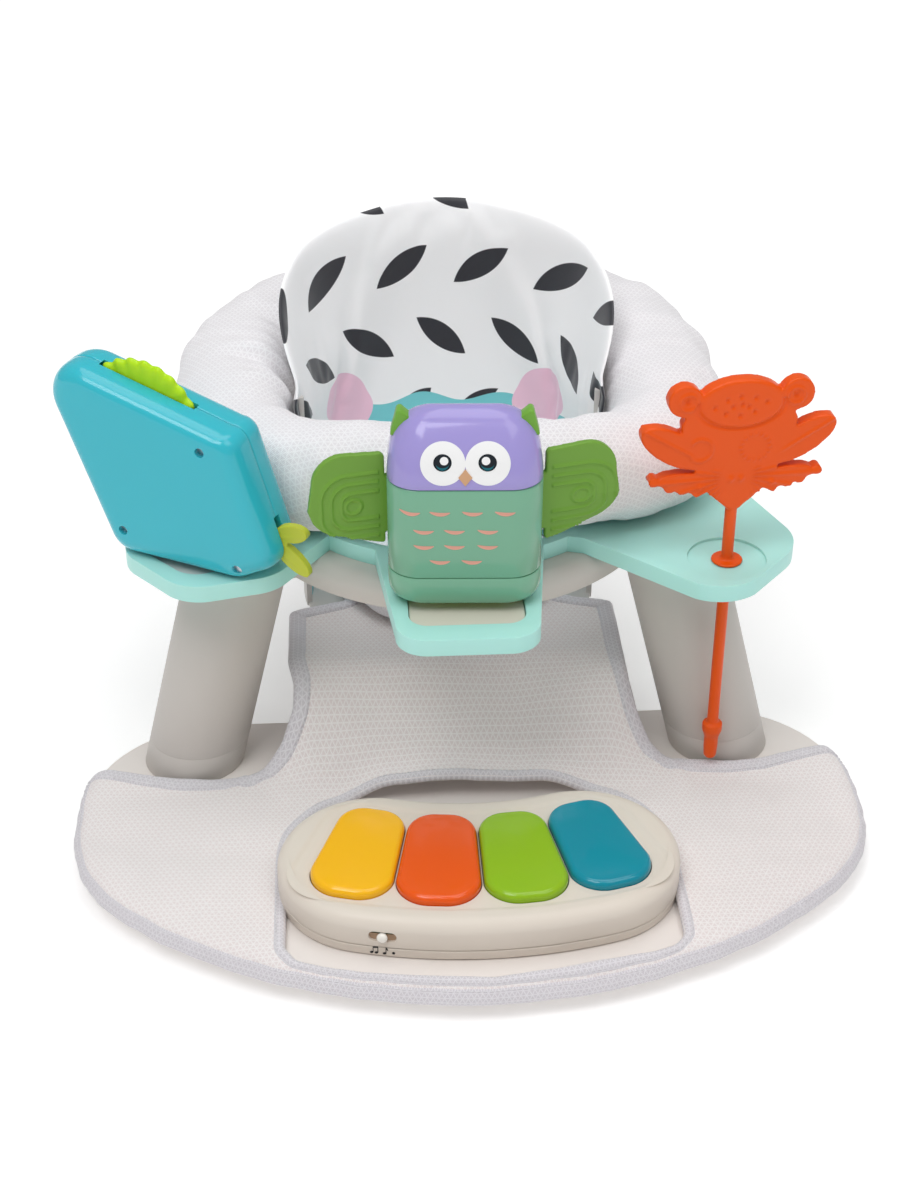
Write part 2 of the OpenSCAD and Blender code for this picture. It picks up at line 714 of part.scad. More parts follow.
// A band bent round the ring's axis, with round ends
module piano_area(grow = 0) {
    turn = piano_turn;
    end = [piano_mid_r * sin(turn), -piano_mid_r * cos(turn)];
    translate([piano_x, 0]) polygon(concat(
        arc(0, 0, piano_front_r + grow, -90 - turn, -90 + turn, 16),
        arc(end[0], end[1], piano_end_r + grow, -80 + turn, 80 + turn, 16),
        arc(0, 0, piano_back_r - grow, -90 + turn, -90 - turn, 16),
        arc(-end[0], end[1], piano_end_r + grow, 100 - turn, 260 - turn, 16)));
}

// A key's outline, with its front edge towards -Y, bigger by grow all round
module key_outline(grow = 0) {
    fx = key_front_w / 2 - key_front_round;
    fy = -key_l / 2 + key_front_round;
    bx = key_back_w / 2 - key_back_round;
    by = key_l / 2 - key_back_round;
    fr = key_front_round + grow;
    br = key_back_round + grow;
    polygon(concat(arc(fx, fy, fr, 4, -90, 8), arc(-fx, fy, fr, -90, -184, 8),
        arc(-bx, by, br, 176, 90, 8), arc(bx, by, br, 90, 4, 8)));
}

module at_key(i) {
    translate(key_fan) rotate([0, 0, (i - 1.5) * key_pitch]) translate([0, -key_mid_r]) children();
}

// A tray-shaped shell, closed below or above
module piano_shell(height, closed_top) {
    difference() {
        linear_extrude(height) piano_area();
        translate([0, 0, closed_top ? -1 : piano_wall])
            linear_extrude(height - piano_wall + 1) piano_area(-piano_wall);
    }
}

cell_r = 7.1;
cell_l = 50;
cell_pitch = 15.5;
cell_nub = 1.5;
bay_w = 54;
bay_l = 54;
bay_y = -piano_back_r - 40;
bay_wall_h = 9;
contact_t = 0.5;
door_t = 1.5;
door_lip = 3;
door_tab = 12;
door_gap = 0.3;
speaker_place = [64, -262];
speaker_r = 17;
board_z = 18;
board_t = 1.6;
board_post_r = 3;
board_posts = [[-95, -262], [-45, -295], [-50, -215], [62, -216], [50, -297], [108, -262]];
switch_turn = -11;
switch_z = 14;
slider_w = 8;
slider_h = 4.4;
slot_w = slider_w + 2 * switch_travel + 1;
slot_h = slider_h + 0.6;

// The front wall of the piano at the mode switch, with -Y outwards
module at_switch(z = switch_z) {
    translate([piano_x, 0, 0]) rotate([0, 0, switch_turn]) translate([0, -piano_front_r, z]) children();
}

module piano_lower_case() {
    color("#ece4d6") difference() {
        at_ring(piano_z) {
            difference() {
                piano_shell(piano_split, false);
                translate([piano_x - bay_w / 2 - door_lip, bay_y - bay_l / 2 - door_tab, -1])
                    cube([bay_w + 2 * door_lip, bay_l + door_tab + door_lip, door_t + 1]);
                translate([piano_x - bay_w / 2, bay_y - bay_l / 2, -1]) cube([bay_w, bay_l, piano_wall + 2]);
            }
            for (p = piano_places) translate(p) cylinder(r = post_r, h = piano_split, $fn = 48);
            for (p = board_posts) translate([p[0], p[1], piano_wall - e])
                cylinder(r = board_post_r, h = board_z - piano_wall + e, $fn = 32);
            for (s = [-1, 1])
                translate([piano_x - bay_w / 2, bay_y + s * (bay_l / 2 + 0.75) - 0.75, piano_wall - e])
                    cube([bay_w, 1.5, bay_wall_h]);
            translate([piano_x, bay_y - bay_l / 2 - door_tab / 2, piano_wall - e])
                cylinder(r = 4, h = 7, $fn = 32);
        }
        at_ring(piano_z - e) {
            for (p = piano_places) translate(p)
                cylinder(r = screw_r + 0.25, h = piano_split + 2 * e, $fn = 32);
            for (i = [-2 : 2], j = [-2 : 2]) if (abs(i) + abs(j) < 4)
                translate([speaker_place[0] + i * 6, speaker_place[1] + j * 6, 0])
                    cylinder(r = 1.2, h = piano_wall + 2 * e, $fn = 24);
            translate([piano_x, bay_y - bay_l / 2 - door_tab / 2, 0]) cylinder(r = 1.2, h = 9, $fn = 24);
        }
    }
}

module piano_upper_case() {
    color("#efe7d9") difference() {
        at_ring(piano_z + piano_split) {
            piano_shell(piano_h - piano_split, true);
            for (p = piano_places) translate(p) cylinder(r = post_r, h = piano_h - piano_split - 1, $fn = 48);
        }
        for (i = [0 : 3]) at_ring(piano_top - piano_wall - 1) at_key(i)
            linear_extrude(piano_wall + 2) key_outline(key_gap);
        for (p = piano_places) at_ring(piano_z + piano_split - e) translate(p)
            cylinder(r = screw_r, h = pilot_l, $fn = 32);
        at_ring(piano_z) at_switch() translate([-slot_w / 2, -2, -slot_h / 2]) cube([slot_w, 6, slot_h]);
    }
}

flange_t = 1.5;
key_soft = 1;

// A key: a cap through the case's window, on a broader flange inside that stops it
module key(i) {
    cap_h = flange_t + piano_wall + key_rise;
    color(key_colours[i]) at_ring(piano_top - piano_wall - flange_t) at_key(i) {
        linear_extrude(flange_t) key_outline(key_flange);
        linear_extrude(cap_h - 2 * key_soft) key_outline();
        translate([0, 0, cap_h - 2 * key_soft - e]) linear_extrude(key_soft + e) key_outline(-key_soft);
        translate([0, 0, cap_h - key_soft - e]) linear_extrude(key_soft + e) key_outline(-3 * key_soft);
    }
}

module key_yellow() { key(0); }
module key_orange() { key(1); }
module key_green() { key(2); }
module key_teal() { key(3); }

membrane_t = 1;
membrane_z = board_z + board_t;
dome_gap = 0.3;
dome_r = 7;

module board_area() {
    difference() {
        piano_area(-piano_wall - 3);
        for (p = piano_places) translate(p) circle(r = post_r + 1, $fn = 48);
    }
}

module key_membrane() {
    button_h = piano_h - piano_wall - flange_t - key_travel - dome_gap - membrane_z;
    color("#8a8f92") at_ring(piano_z + membrane_z) {
        linear_extrude(membrane_t) board_area();
        for (i = [0 : 3]) at_key(i) cylinder(r = dome_r, h = button_h, $fn = 48);
    }
}

module circuit_board() {
    color("#2f6b3a") at_ring(piano_z + board_z) linear_extrude(board_t) board_area();
}

module speaker() {
    color("#3a3d40") at_ring(piano_z + piano_wall) translate(speaker_place) {
        cylinder(r = speaker_r, h = 3);
        cylinder(r = speaker_r * 0.55, h = 9);
    }
}

module batteries() {
    cell_z = piano_wall + cell_r + 0.2;
    color("#4b5a63") for (i = [-1 : 1]) at_ring(piano_z)
        translate([piano_x + i * cell_pitch, bay_y + cell_l / 2, cell_z]) rotate([90, 0, 0]) {
            cylinder(r = cell_r, h = cell_l - cell_nub, $fn = 48);
            translate([0, 0, cell_l - cell_nub - e]) cylinder(r = 2.6, h = cell_nub + e, $fn = 32);
        }
}

module battery_contacts() {
    slack = (bay_l - cell_l) / 2;
    color("silver") for (s = [-1, 1]) at_ring(piano_z + piano_wall)
        translate([piano_x - bay_w / 2 + 2, bay_y + s * (bay_l / 2 - slack / 2) - slack / 2, 1])
            cube([bay_w - 4, slack, bay_wall_h - 2]);
}

module battery_door() {
    tab_y = bay_y - bay_l / 2 - door_tab / 2;
    color("#e4dccd") at_ring(piano_z) difference() {
        union() {
            translate([piano_x - bay_w / 2 - door_lip + door_gap, bay_y - bay_l / 2 - door_tab + door_gap, 0])
                cube([bay_w + 2 * (door_lip - door_gap), bay_l + door_tab + door_lip - 2 * door_gap, door_t]);
            translate([piano_x - bay_w / 2 + door_gap, bay_y - bay_l / 2 + door_gap, 0])
                cube([bay_w - 2 * door_gap, bay_l - 2 * door_gap, piano_wall]);
        }
        translate([piano_x, tab_y, -e]) cylinder(r = 1.45, h = door_t + 2 * e, $fn = 24);
        translate([piano_x, tab_y, -e]) cylinder(r = 2.7, h = 0.8 + e, $fn = 24);
    }
}

module battery_door_screw() {
    color("silver") at_ring(piano_z) translate([piano_x, bay_y - bay_l / 2 - door_tab / 2, 0]) {
        cylinder(r = 2.4, h = 0.8, $fn = 24);
        cylinder(r = 1.2, h = 8, $fn = 24);
    }
}

module mode_switch() {
    color("#e9dfcd") at_ring(piano_z) at_switch() {
        translate([-slider_w / 2, -2.5, -slider_h / 2]) cube([slider_w, 7.5, slider_h]);
        translate([-slider_w / 2 - 1.5, piano_wall + 0.8, -slider_h / 2 - 1.2])
            cube([slider_w + 3, 1.7, slider_h + 2.4]);
    }
}

module switch_body() {
    color("#303336") at_ring(piano_z) at_switch() translate([-14, piano_wall + 2.5, board_z - switch_z - 8])
        cube([28, 8, 8]);
}

module piano_screws() {
    color("silver") for (p = piano_places) at_ring(foot_h) translate(p)
        screw(plate_h + piano_split + screw_bite);
}

/* Owl --------------------------------------------------------------------------------------------- */

owl_z = tray_top - recess_d + insert_t;
owl_shell = 2.5;
owl_foot_h = 5;
owl_round = 20;
eye_r = 14;
eye_x = 13.6;
eye_t = 1.6;
wing_pin_r = 1.5;
knuckle_r = 3.4;
wing_t = 4.6;
wing_pin_x = owl_w / 2 - 4.5;
wing_mid_h = 71;
wing_root = owl_w / 2 + 2 - wing_pin_x;
knuckle_low = 46;
knuckle_high = owl_neck_h - 4;
pin_seat = 4;
owl_post_places = [[-24, 0], [24, 0]];

module at_owl(h = 0) { at_ring(owl_z + h) translate([0, owl_y, 0]) rotate([0, 0, owl_turn]) children(); }

// A rectangle with round corners
module round_rect(w, d, r) {
    polygon(concat(arc(w / 2 - r, d / 2 - r, r, 0, 90, 6), arc(-w / 2 + r, d / 2 - r, r, 90, 180, 6),
        arc(-w / 2 + r, -d / 2 + r, r, 180, 270, 6), arc(w / 2 - r, -d / 2 + r, r, 270, 360, 6)));
}

// A block through level sections, each [height, how much narrower than the owl, corner radius]
module owl_block(sections, inset = 0) {
    hull() for (s = sections) translate([0, 0, s[0]]) linear_extrude(0.2)
        round_rect(owl_w - s[1] - 2 * inset, owl_d - s[1] - 2 * inset, s[2] - inset);
}

module owl_foot() {
    color("#b9d052") difference() {
        union() {
            at_owl() owl_block([[0, 26, 14], [owl_foot_h - 0.2, 20, 16]]);
            at_ring(tray_z + 1) translate([0, owl_y, 0])
                cylinder(r = owl_post_r, h = owl_z - tray_z, $fn = 48);
        }
        for (p = owl_post_places) at_owl() translate(p) screw_way(owl_foot_h);
    }
}

module owl_base() {
    top = owl_seam_h - 0.2;
    color("#86c0a0") difference() {
        at_owl() {
            difference() {
                owl_block([[owl_foot_h, 16, 16], [owl_foot_h + 6, 5, 18], [owl_foot_h + 14, 0, owl_round],
                    [top, 0, owl_round]]);
                translate([0, 0, owl_shell]) owl_block([[owl_foot_h, 18, 16], [owl_foot_h + 14, 2, owl_round],
                    [top, 0, owl_round]], owl_shell);
            }
            for (p = owl_post_places) translate([p[0], p[1], owl_foot_h])
                cylinder(r = 4.5, h = top - owl_foot_h + 0.2, $fn = 48);
        }
        for (p = owl_post_places) at_owl(owl_foot_h - 1) translate(p)
            cylinder(r = screw_r + 0.25, h = owl_seam_h, $fn = 32);
    }
}

// Half width of the slot for a wing, which lets it swing wing_swing to each side
wing_swing = 20;
wing_slot = (wing_t / 2 + (owl_w / 2 - wing_pin_x) * sin(wing_swing)) / cos(wing_swing) + 0.3;
wing_pin_l = knuckle_high - knuckle_low + 2 * shell_gap + pin_seat + 2;

module owl_body() {
    tall = owl_neck_h - owl_seam_h;
    color("#86c0a0") difference() {
        at_owl(owl_seam_h) {
            difference() {
                linear_extrude(tall) round_rect(owl_w, owl_d, owl_round);
                translate([0, 0, -1]) linear_extrude(tall - owl_shell + 1)
                    round_rect(owl_w - 2 * owl_shell, owl_d - 2 * owl_shell, owl_round - owl_shell);
            }
            for (p = owl_post_places) translate(p) cylinder(r = 4.5, h = tall - 1, $fn = 48);
            intersection() {
                linear_extrude(tall) round_rect(owl_w, owl_d, owl_round);
                for (s = [-1, 1]) translate([s * wing_pin_x, 0, 0]) {
                    translate([0, 0, knuckle_low - shell_gap - pin_seat - 1.5 - owl_seam_h])
                        cylinder(r = knuckle_r + 1.5, h = pin_seat + 1.5, $fn = 48);
                    translate([0, 0, knuckle_high + shell_gap - owl_seam_h])
                        cylinder(r = knuckle_r + 1.5, h = owl_neck_h - knuckle_high - shell_gap, $fn = 48);
                }
            }
        }
        for (s = [-1, 1]) at_owl() translate([s * wing_pin_x, 0, 0]) {
            translate([0, 0, knuckle_low - shell_gap - pin_seat])
                cylinder(r = wing_pin_r, h = wing_pin_l, $fn = 48);
            translate([s * 5 - 5, -wing_slot, knuckle_low - shell_gap])
                cube([10, 2 * wing_slot, knuckle_high - knuckle_low + 2 * shell_gap]);
        }
        for (p = owl_post_places) at_owl(owl_seam_h - e) translate(p)
            cylinder(r = screw_r, h = pilot_l, $fn = 32);
    }
}

dome_h = owl_h - owl_neck_h;
owl_dome = [[0, 0, owl_round], [dome_h * 0.5, 1, owl_round], [dome_h * 0.7, 7, owl_round],
    [dome_h * 0.85, 17, 18], [dome_h * 0.95, 30, 14], [dome_h - 0.2, 46, 6]];

module owl_head() {
    color("#a99bd8") at_owl(owl_neck_h) difference() {
        owl_block(owl_dome);
        translate([0, 0, -owl_shell]) owl_block(owl_dome, owl_shell);
    }
}

module owl_ears() {
    ear = [owl_w / 2 - 13, owl_h - 14];
    color("#7fb52c") difference() {
        for (s = [-1, 1]) at_owl() translate([s * ear[0], 4.5, ear[1]]) rotate([90, 0, 0])
            linear_extrude(9) scale_side(s)
                polygon(concat(arc(2, 2, 7, -60, 30, 6), arc(4, 11, 3, 20, 100, 6),
                    arc(-8, 8, 3, 90, 200, 6)));
        at_owl(owl_neck_h) owl_block(owl_dome);
    }
}

module scale_side(side) { if (side > 0) children(); else mirror([1, 0]) children(); }

eye_h = 17;

module owl_eyes() {
    color("#f5f5f2") at_owl(owl_neck_h + eye_h) difference() {
        translate([0, -owl_d / 2 + eye_t, 0]) rotate([90, 0, 0])
            for (s = [-1, 1]) translate([s * eye_x, 0, 0]) cylinder(r = eye_r, h = 2 * eye_t);
        translate([0, 0, -eye_h]) owl_block(owl_dome);
    }
}

module owl_beak() {
    beak = 8;
    color("#c9a07a") at_owl(owl_neck_h + eye_h - 8) translate([0, -owl_d / 2 - eye_t, 0]) rotate([90, 0, 0])
        linear_extrude(2.5) polygon([[0, -beak], [beak * 0.7, 0], [0, beak], [-beak * 0.7, 0]]);
}

// A wing: a rubber flap whose hinge tube lies inside the body, drawn in its own frame with its pin along Z
module wing() {
    half = wing_h / 2;
    tall = knuckle_high - knuckle_low;
    difference() {
        union() {
            rotate([90, 0, 0]) translate([0, 0, -wing_t / 2]) linear_extrude(wing_t)
                polygon(concat([[wing_root, 2 - half]], arc(wing_root + 2, 2 - half, 2, 180, 270, 4),
                    arc(wing_l - 12, 21 - half, 12, -80, -5, 6), arc(wing_l - 24, half - 20, 20, 0, 88, 8),
                    [[wing_root + 2, half - 2], [wing_root, half - 4]]));
            translate([0, -wing_t / 2, knuckle_low - wing_mid_h]) cube([wing_root + 1, wing_t, tall]);
            translate([0, 0, knuckle_low - wing_mid_h]) cylinder(r = knuckle_r, h = tall, $fn = 48);
        }
        translate([0, 0, -half]) cylinder(r = wing_pin_r + run, h = wing_h, $fn = 48);
    }
}

module at_wing(side) { at_owl(wing_mid_h) translate([side * wing_pin_x, 0, 0]) children(); }

module owl_wing_left() { color("#6ea83c") at_wing(-1) rotate([0, 0, wing_turn]) mirror([1, 0, 0]) wing(); }
module owl_wing_right() { color("#6ea83c") at_wing(1) rotate([0, 0, wing_turn]) wing(); }

module owl_wing_pins() {
    color("silver") for (s = [-1, 1]) at_owl(knuckle_low - shell_gap - pin_seat)
        translate([s * wing_pin_x, 0, 0]) cylinder(r = wing_pin_r, h = wing_pin_l, $fn = 48);
}

module owl_screws() {
    color("silver") for (p = owl_post_places) at_owl() translate(p) screw(owl_seam_h + screw_bite);
}

/* Fish -------------------------------------------------------------------------------------------- */

fish_z = tray_top + soft_gap;
fish_wall = 2.5;
fish_split = fish_d / 2 + 1;
wheel_c = [-28, fish_h - 38];
wheel_t = 5;
wheel_gap = 0.8;
axle_r = 3;
axle_boss_r = 6;
tail_c = [58, 28];
tail_pin_r = 2;
tail_t = 5;
fish_screw_places = [[27, 92], [48, 11], [-36, 20]];

// Stands at the lower edge of the fish's back: X runs along the fish, Y up it and Z out to its back
module at_fish() {
    at_ring(fish_z) translate(fish_foot) rotate([0, 0, fish_turn + 90]) rotate([90, 0, 0])
        translate([0, 0, -fish_d]) children();
}

module fish_outline() {
    polygon(concat(arc(-34, 16, 16, 195, 270, 6), arc(44, 14, 14, 270, 300, 4),
        arc(60, 22, 13, 300, 375, 6), arc(39, 92, 12, 15, 92, 6),
        arc(-66, fish_h - 20, 20, 78, 200, 12)));
}

// Sections of the two halves, each [depth, scale about the middle]: the back swells, the front is flatter
seam = fish_d - fish_split;
fish_mid = [-6, 66];
back_sections = [[seam, 1], [seam + 5, 1], [fish_d - 11, 0.985], [fish_d - 6, 0.95], [fish_d - 2.5, 0.88],
    [fish_d - 0.2, 0.74]];
front_sections = [[0, 0.8], [2.5, 0.9], [7, 0.96], [13, 0.99], [seam - 0.2, 1]];

module fish_solid(sections, shrink = 1, shift = 0) {
    hull() for (s = sections) translate([fish_mid[0], fish_mid[1], s[0] + shift]) linear_extrude(0.2)
        scale(s[1] * shrink) translate(-fish_mid) fish_outline();
}

// The slots and bores for the wheel and the tail, and the ways of the screws
module fish_cuts() {
    translate([wheel_c[0], wheel_c[1], seam - wheel_t / 2 - wheel_gap])
        cylinder(r = wheel_r + 1.2, h = wheel_t + 2 * wheel_gap);
    translate([tail_c[0], tail_c[1], seam - tail_t / 2 - 0.6]) tail_space();
    translate([wheel_c[0], wheel_c[1], fish_wall + 1]) cylinder(r = axle_r, h = fish_d - 2 * fish_wall - 2);
    translate([tail_c[0], tail_c[1], fish_wall + 5])
        cylinder(r = tail_pin_r, h = fish_d - 2 * fish_wall - 10, $fn = 48);
    for (p = fish_screw_places) translate([p[0], p[1], 5]) cylinder(r = screw_r, h = fish_d, $fn = 32);
    for (p = fish_screw_places) translate([p[0], p[1], fish_d - 4 - head_h])
        cylinder(r = head_r + 0.3, h = 5 + head_h, $fn = 32);
}

module tail_space() {
    half = 9.5;
    reach = 40;
    turn = 30;
    down = 52;
    side = [half * cos(90 + turn) + reach * cos(turn), half * sin(90 + turn) + reach * sin(turn)];
    low = [half * cos(270 - down) + reach * cos(down), half * sin(270 - down) - reach * sin(down)];
    linear_extrude(tail_t + 1.2)
        polygon(concat(arc(0, 0, half, 90 + turn, 270 - down, 16), [low, side]));
}

module fish_bosses() {
    translate([0, 0, 1]) linear_extrude(fish_d - 2) {
        translate(wheel_c) circle(r = axle_boss_r, $fn = 48);
        translate(tail_c) circle(r = tail_pin_r + 3, $fn = 48);
        for (p = fish_screw_places) translate(p) circle(r = head_r + 2, $fn = 48);
    }
}

module fish_half(sections, inward) {
    thin = 0.955;
    difference() {
        union() {
            difference() {
                fish_solid(sections);
                fish_solid(sections, thin, inward * fish_wall);
            }
            intersection() {
                fish_bosses();
                fish_solid(sections);
            }
        }
        fish_cuts();
    }
}

module fish_back_shell() { color("#3cbecd") at_fish() fish_half(back_sections, -1); }

module fish_front_shell() {
    color("#38b7c6") {
        at_fish() fish_half(front_sections, 1);
        at_ring(tray_z + 1) translate(fish_post) cylinder(r = fish_post_r, h = fish_z - tray_z + 2, $fn = 48);
    }
}

module fish_wheel() {
    teeth = 40;
    tooth_r = 1.8;
    color("#b4f01e") at_fish() translate([wheel_c[0], wheel_c[1], seam - wheel_t / 2]) difference() {
        union() {
            cylinder(r = wheel_r - tooth_r, h = wheel_t, $fn = 96);
            for (i = [0 : teeth - 1]) rotate([0, 0, i * 360 / teeth]) translate([wheel_r - tooth_r, 0, 0])
                cylinder(r = tooth_r, h = wheel_t, $fn = 16);
        }
        translate([0, 0, -e]) cylinder(r = axle_r + run, h = wheel_t + 2 * e);
    }
}

module fish_axle() {
    color("silver") at_fish() translate([wheel_c[0], wheel_c[1], fish_wall + 1])
        cylinder(r = axle_r, h = fish_d - 2 * fish_wall - 2);
}

// A tail: two round lobes on a neck that turns on its pin
module fish_tail() {
    color("#c3c83a") at_fish() translate([tail_c[0], tail_c[1], seam - tail_t / 2]) difference() {
        linear_extrude(tail_t) {
            circle(r = 6.5, $fn = 48);
            polygon([[0, -6.5], [16, -9], [18, 6], [0, 6.5]]);
            polygon(ellipse(20, 6, 12, 6.5, 12));
            polygon(ellipse(20, -13, 15, 6.5, -38));
        }
        translate([0, 0, -e]) cylinder(r = tail_pin_r + run, h = tail_t + 2 * e, $fn = 48);
    }
}

module fish_tail_pin() {
    color("silver") at_fish() translate([tail_c[0], tail_c[1], fish_wall + 5])
        cylinder(r = tail_pin_r, h = fish_d - 2 * fish_wall - 10, $fn = 48);
}

module fish_screws() {
    color("silver") at_fish() for (p = fish_screw_places) translate([p[0], p[1], fish_d - 4])
        mirror([0, 0, 1]) screw(fish_d - 4 - 6);
}

/* Frog -------------------------------------------------------------------------------------------- */

frog_yaw = 6;
frog_eye_r = 11;
stem_flange_r = 10.5;
stem_flange_t = 2;
bulb_l = 30;
bulb_r = 7;
frog_base = tray_top - frog_recess_d;

module frog_outline() {
    head_y = frog_h - 17;
    polygon(ellipse(0, head_y, 28.5, 17, 0));
    for (s = [-1, 1]) {
        translate([s * 36.5, frog_h - 11 - frog_eye_r + 9]) circle(r = frog_eye_r, $fn = 48);
        polygon(ellipse(s * 42, frog_h - 46, 25, 11, s * 32));
        polygon(ellipse(s * 30, 63, 22, 7, s * 8));
        translate([s * 54, 66]) circle(r = 3.2, $fn = 24);
        for (k = [0 : 2]) translate([s * (25 + 9 * k), 57 + 2 * k]) circle(r = 4, $fn = 24);
    }
    polygon([[-38, frog_h - 30], [-34, frog_h - 50], [-22, 62], [-20, 57], [-4, 42], [4, 42], [20, 57],
        [22, 62], [34, frog_h - 50], [38, frog_h - 30], [30, frog_h - 14], [-30, frog_h - 14]]);
}

// One rubber moulding: the frog, its stem with a flange, and the bulb that keeps it in the tray
module frog_teether() {
    color("#f07010") at_ring() translate(frog_place) {
        translate([0, 0, frog_base]) rotate([0, 0, frog_yaw]) rotate([90, 0, 0])
            translate([0, 0, -frog_t / 2]) linear_extrude(frog_t) frog_outline();
        translate([0, 0, frog_base]) cylinder(r = stem_flange_r, h = stem_flange_t);
        translate([0, 0, tray_top - stem_drop + bulb_l - 1])
            cylinder(r = stem_r, h = stem_drop - bulb_l + 50, $fn = 48);
        translate([0, 0, tray_top - stem_drop]) rotate_extrude($fn = 48) polygon([[0, 0], [3, 0], [4.5, 2],
            [5, 10], [5, 18], [bulb_r, 24], [bulb_r, bulb_l], [0, bulb_l]]);
    }
}

base_plate();
base_feet();
leg_foot_left();
leg_foot_right();
leg_left();
leg_right();
leg_screws();
seat_ring();
frame_screws();
seat_tub();
tub_screws();
toy_tray();
tray_screws();
fish_insert();
owl_insert();
ring_bolster();
backrest_pad();
seat_cushion();
seat_panel();
foot_mat();
piano_lower_case();
piano_upper_case();
key_yellow();
key_orange();
key_green();
key_teal();
key_membrane();
circuit_board();
speaker();
batteries();
battery_contacts();
battery_door();
battery_door_screw();
mode_switch();
switch_body();
piano_screws();
owl_foot();
owl_base();
owl_body();
owl_head();
owl_ears();
owl_eyes();
owl_beak();
owl_wing_left();
owl_wing_right();
owl_wing_pins();
owl_screws();
fish_back_shell();
fish_front_shell();
fish_wheel();
fish_axle();
fish_tail();
fish_tail_pin();
fish_screws();
frog_teether();
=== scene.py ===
"""Dress the baby floor seat: padded cover, moulded frame, toys, foot piano, floor, lamps and camera."""
from __future__ import annotations

import json
import logging
import math
from contextlib import contextmanager
from dataclasses import dataclass
from enum import Enum
from typing import Callable, Iterable, Iterator, Optional, Sequence

import bmesh
import bpy
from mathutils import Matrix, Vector, noise
from mathutils.bvhtree import BVHTree
from mathutils.geometry import delaunay_2d_cdt, tessellate_polygon

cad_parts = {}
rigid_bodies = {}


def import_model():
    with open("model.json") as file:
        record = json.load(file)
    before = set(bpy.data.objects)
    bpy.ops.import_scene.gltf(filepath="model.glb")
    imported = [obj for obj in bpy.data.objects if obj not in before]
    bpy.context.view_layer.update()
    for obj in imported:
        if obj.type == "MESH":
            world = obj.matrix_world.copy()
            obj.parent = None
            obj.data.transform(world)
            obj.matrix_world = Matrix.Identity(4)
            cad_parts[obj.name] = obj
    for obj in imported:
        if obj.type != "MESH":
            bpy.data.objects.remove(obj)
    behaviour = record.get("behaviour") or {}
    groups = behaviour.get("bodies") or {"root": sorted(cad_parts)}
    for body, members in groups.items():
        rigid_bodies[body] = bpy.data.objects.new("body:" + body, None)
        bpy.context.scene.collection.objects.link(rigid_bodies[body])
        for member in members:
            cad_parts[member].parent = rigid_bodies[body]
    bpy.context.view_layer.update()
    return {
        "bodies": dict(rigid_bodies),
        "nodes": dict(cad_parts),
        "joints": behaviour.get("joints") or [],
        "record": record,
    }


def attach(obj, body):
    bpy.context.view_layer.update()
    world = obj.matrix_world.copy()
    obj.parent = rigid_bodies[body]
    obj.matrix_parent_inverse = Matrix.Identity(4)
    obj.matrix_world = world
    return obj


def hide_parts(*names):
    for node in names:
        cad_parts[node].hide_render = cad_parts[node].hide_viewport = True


LOG = logging.getLogger("floor_seat")

MM = 0.001  # metres in a millimetre
PLATE_X = 5.0  # the plate's and the piano's middle, to the right of the ring's axis
RING_Y = 65.25  # the ring's axis, behind the middle of the part
WELL_Y = 24.0  # the seat well's axis, behind the ring's axis
WELL_R = 81.1  # radius of the cushion, and of the liner's end in the seat well
BASE_R = 345.0  # radius of the plate's front about the ring's axis
CORNER_X, CORNER_Y, CORNER_R = 175.0, -150.0, 90.0  # the plate's corner behind each leg
BEND_X, BEND_R = 155.0, 110.0  # the bend from that corner's side into the round front
FRAME: dict = {}

Point = tuple[float, float]
Point3 = tuple[float, float, float]
Outline = list[Point]
Piece = bpy.types.Object
Mesh = bpy.types.Mesh
Material = bpy.types.Material
Node = bpy.types.Node
NodeTree = bpy.types.NodeTree
Socket = bpy.types.NodeSocket


class Sheen(Enum):
    """How a moulded surface answers light."""

    GLOSSY = "glossy"
    SATIN = "satin"
    MATT = "matt"
    RUBBER = "rubber"


# Sizes and shapes ------------------------------------------------------------------------------


def seat(x: float, y: float, z: float) -> Vector:
    """Turn millimetres from the seat ring's axis into metres in the part's frame.

    Args:
        x: distance to the viewer's right of the ring's axis.
        y: distance behind the ring's axis.
        z: height above the floor.

    Returns:
        The point in metres.
    """
    return Vector(((x - PLATE_X) * MM, (y + RING_Y) * MM, z * MM))


def clamp(value: float, low: float = 0.0, high: float = 1.0) -> float:
    """Hold a value between two bounds."""
    return min(high, max(low, value))


def ease(value: float, start: float, end: float) -> float:
    """Rise smoothly from 0 at start to 1 at end."""
    t = clamp((value - start) / (end - start))
    return t * t * (3 - 2 * t)


def power(value: float, exponent: float) -> float:
    """Raise a signed value's size to a power and keep its sign."""
    return math.copysign(abs(value) ** exponent, value)


def wander(x: float, y: float, z: float, seed: float = 0.0) -> float:
    """Smooth noise between about -1 and 1 at a point given in its own units."""
    return noise.noise(Vector((x + seed * 17.3, y - seed * 9.1, z + seed * 5.7))) * 1.6


def arc(x: float, y: float, r: float, start: float, end: float, steps: int) -> Outline:
    """Points on an arc.

    Args:
        x: centre across.
        y: centre up.
        r: radius.
        start: first angle in degrees.
        end: last angle in degrees.
        steps: number of equal steps.

    Returns:
        steps + 1 points.
    """
    turns = [math.radians(start + (end - start) * i / steps) for i in range(steps + 1)]
    return [(x + r * math.cos(t), y + r * math.sin(t)) for t in turns]


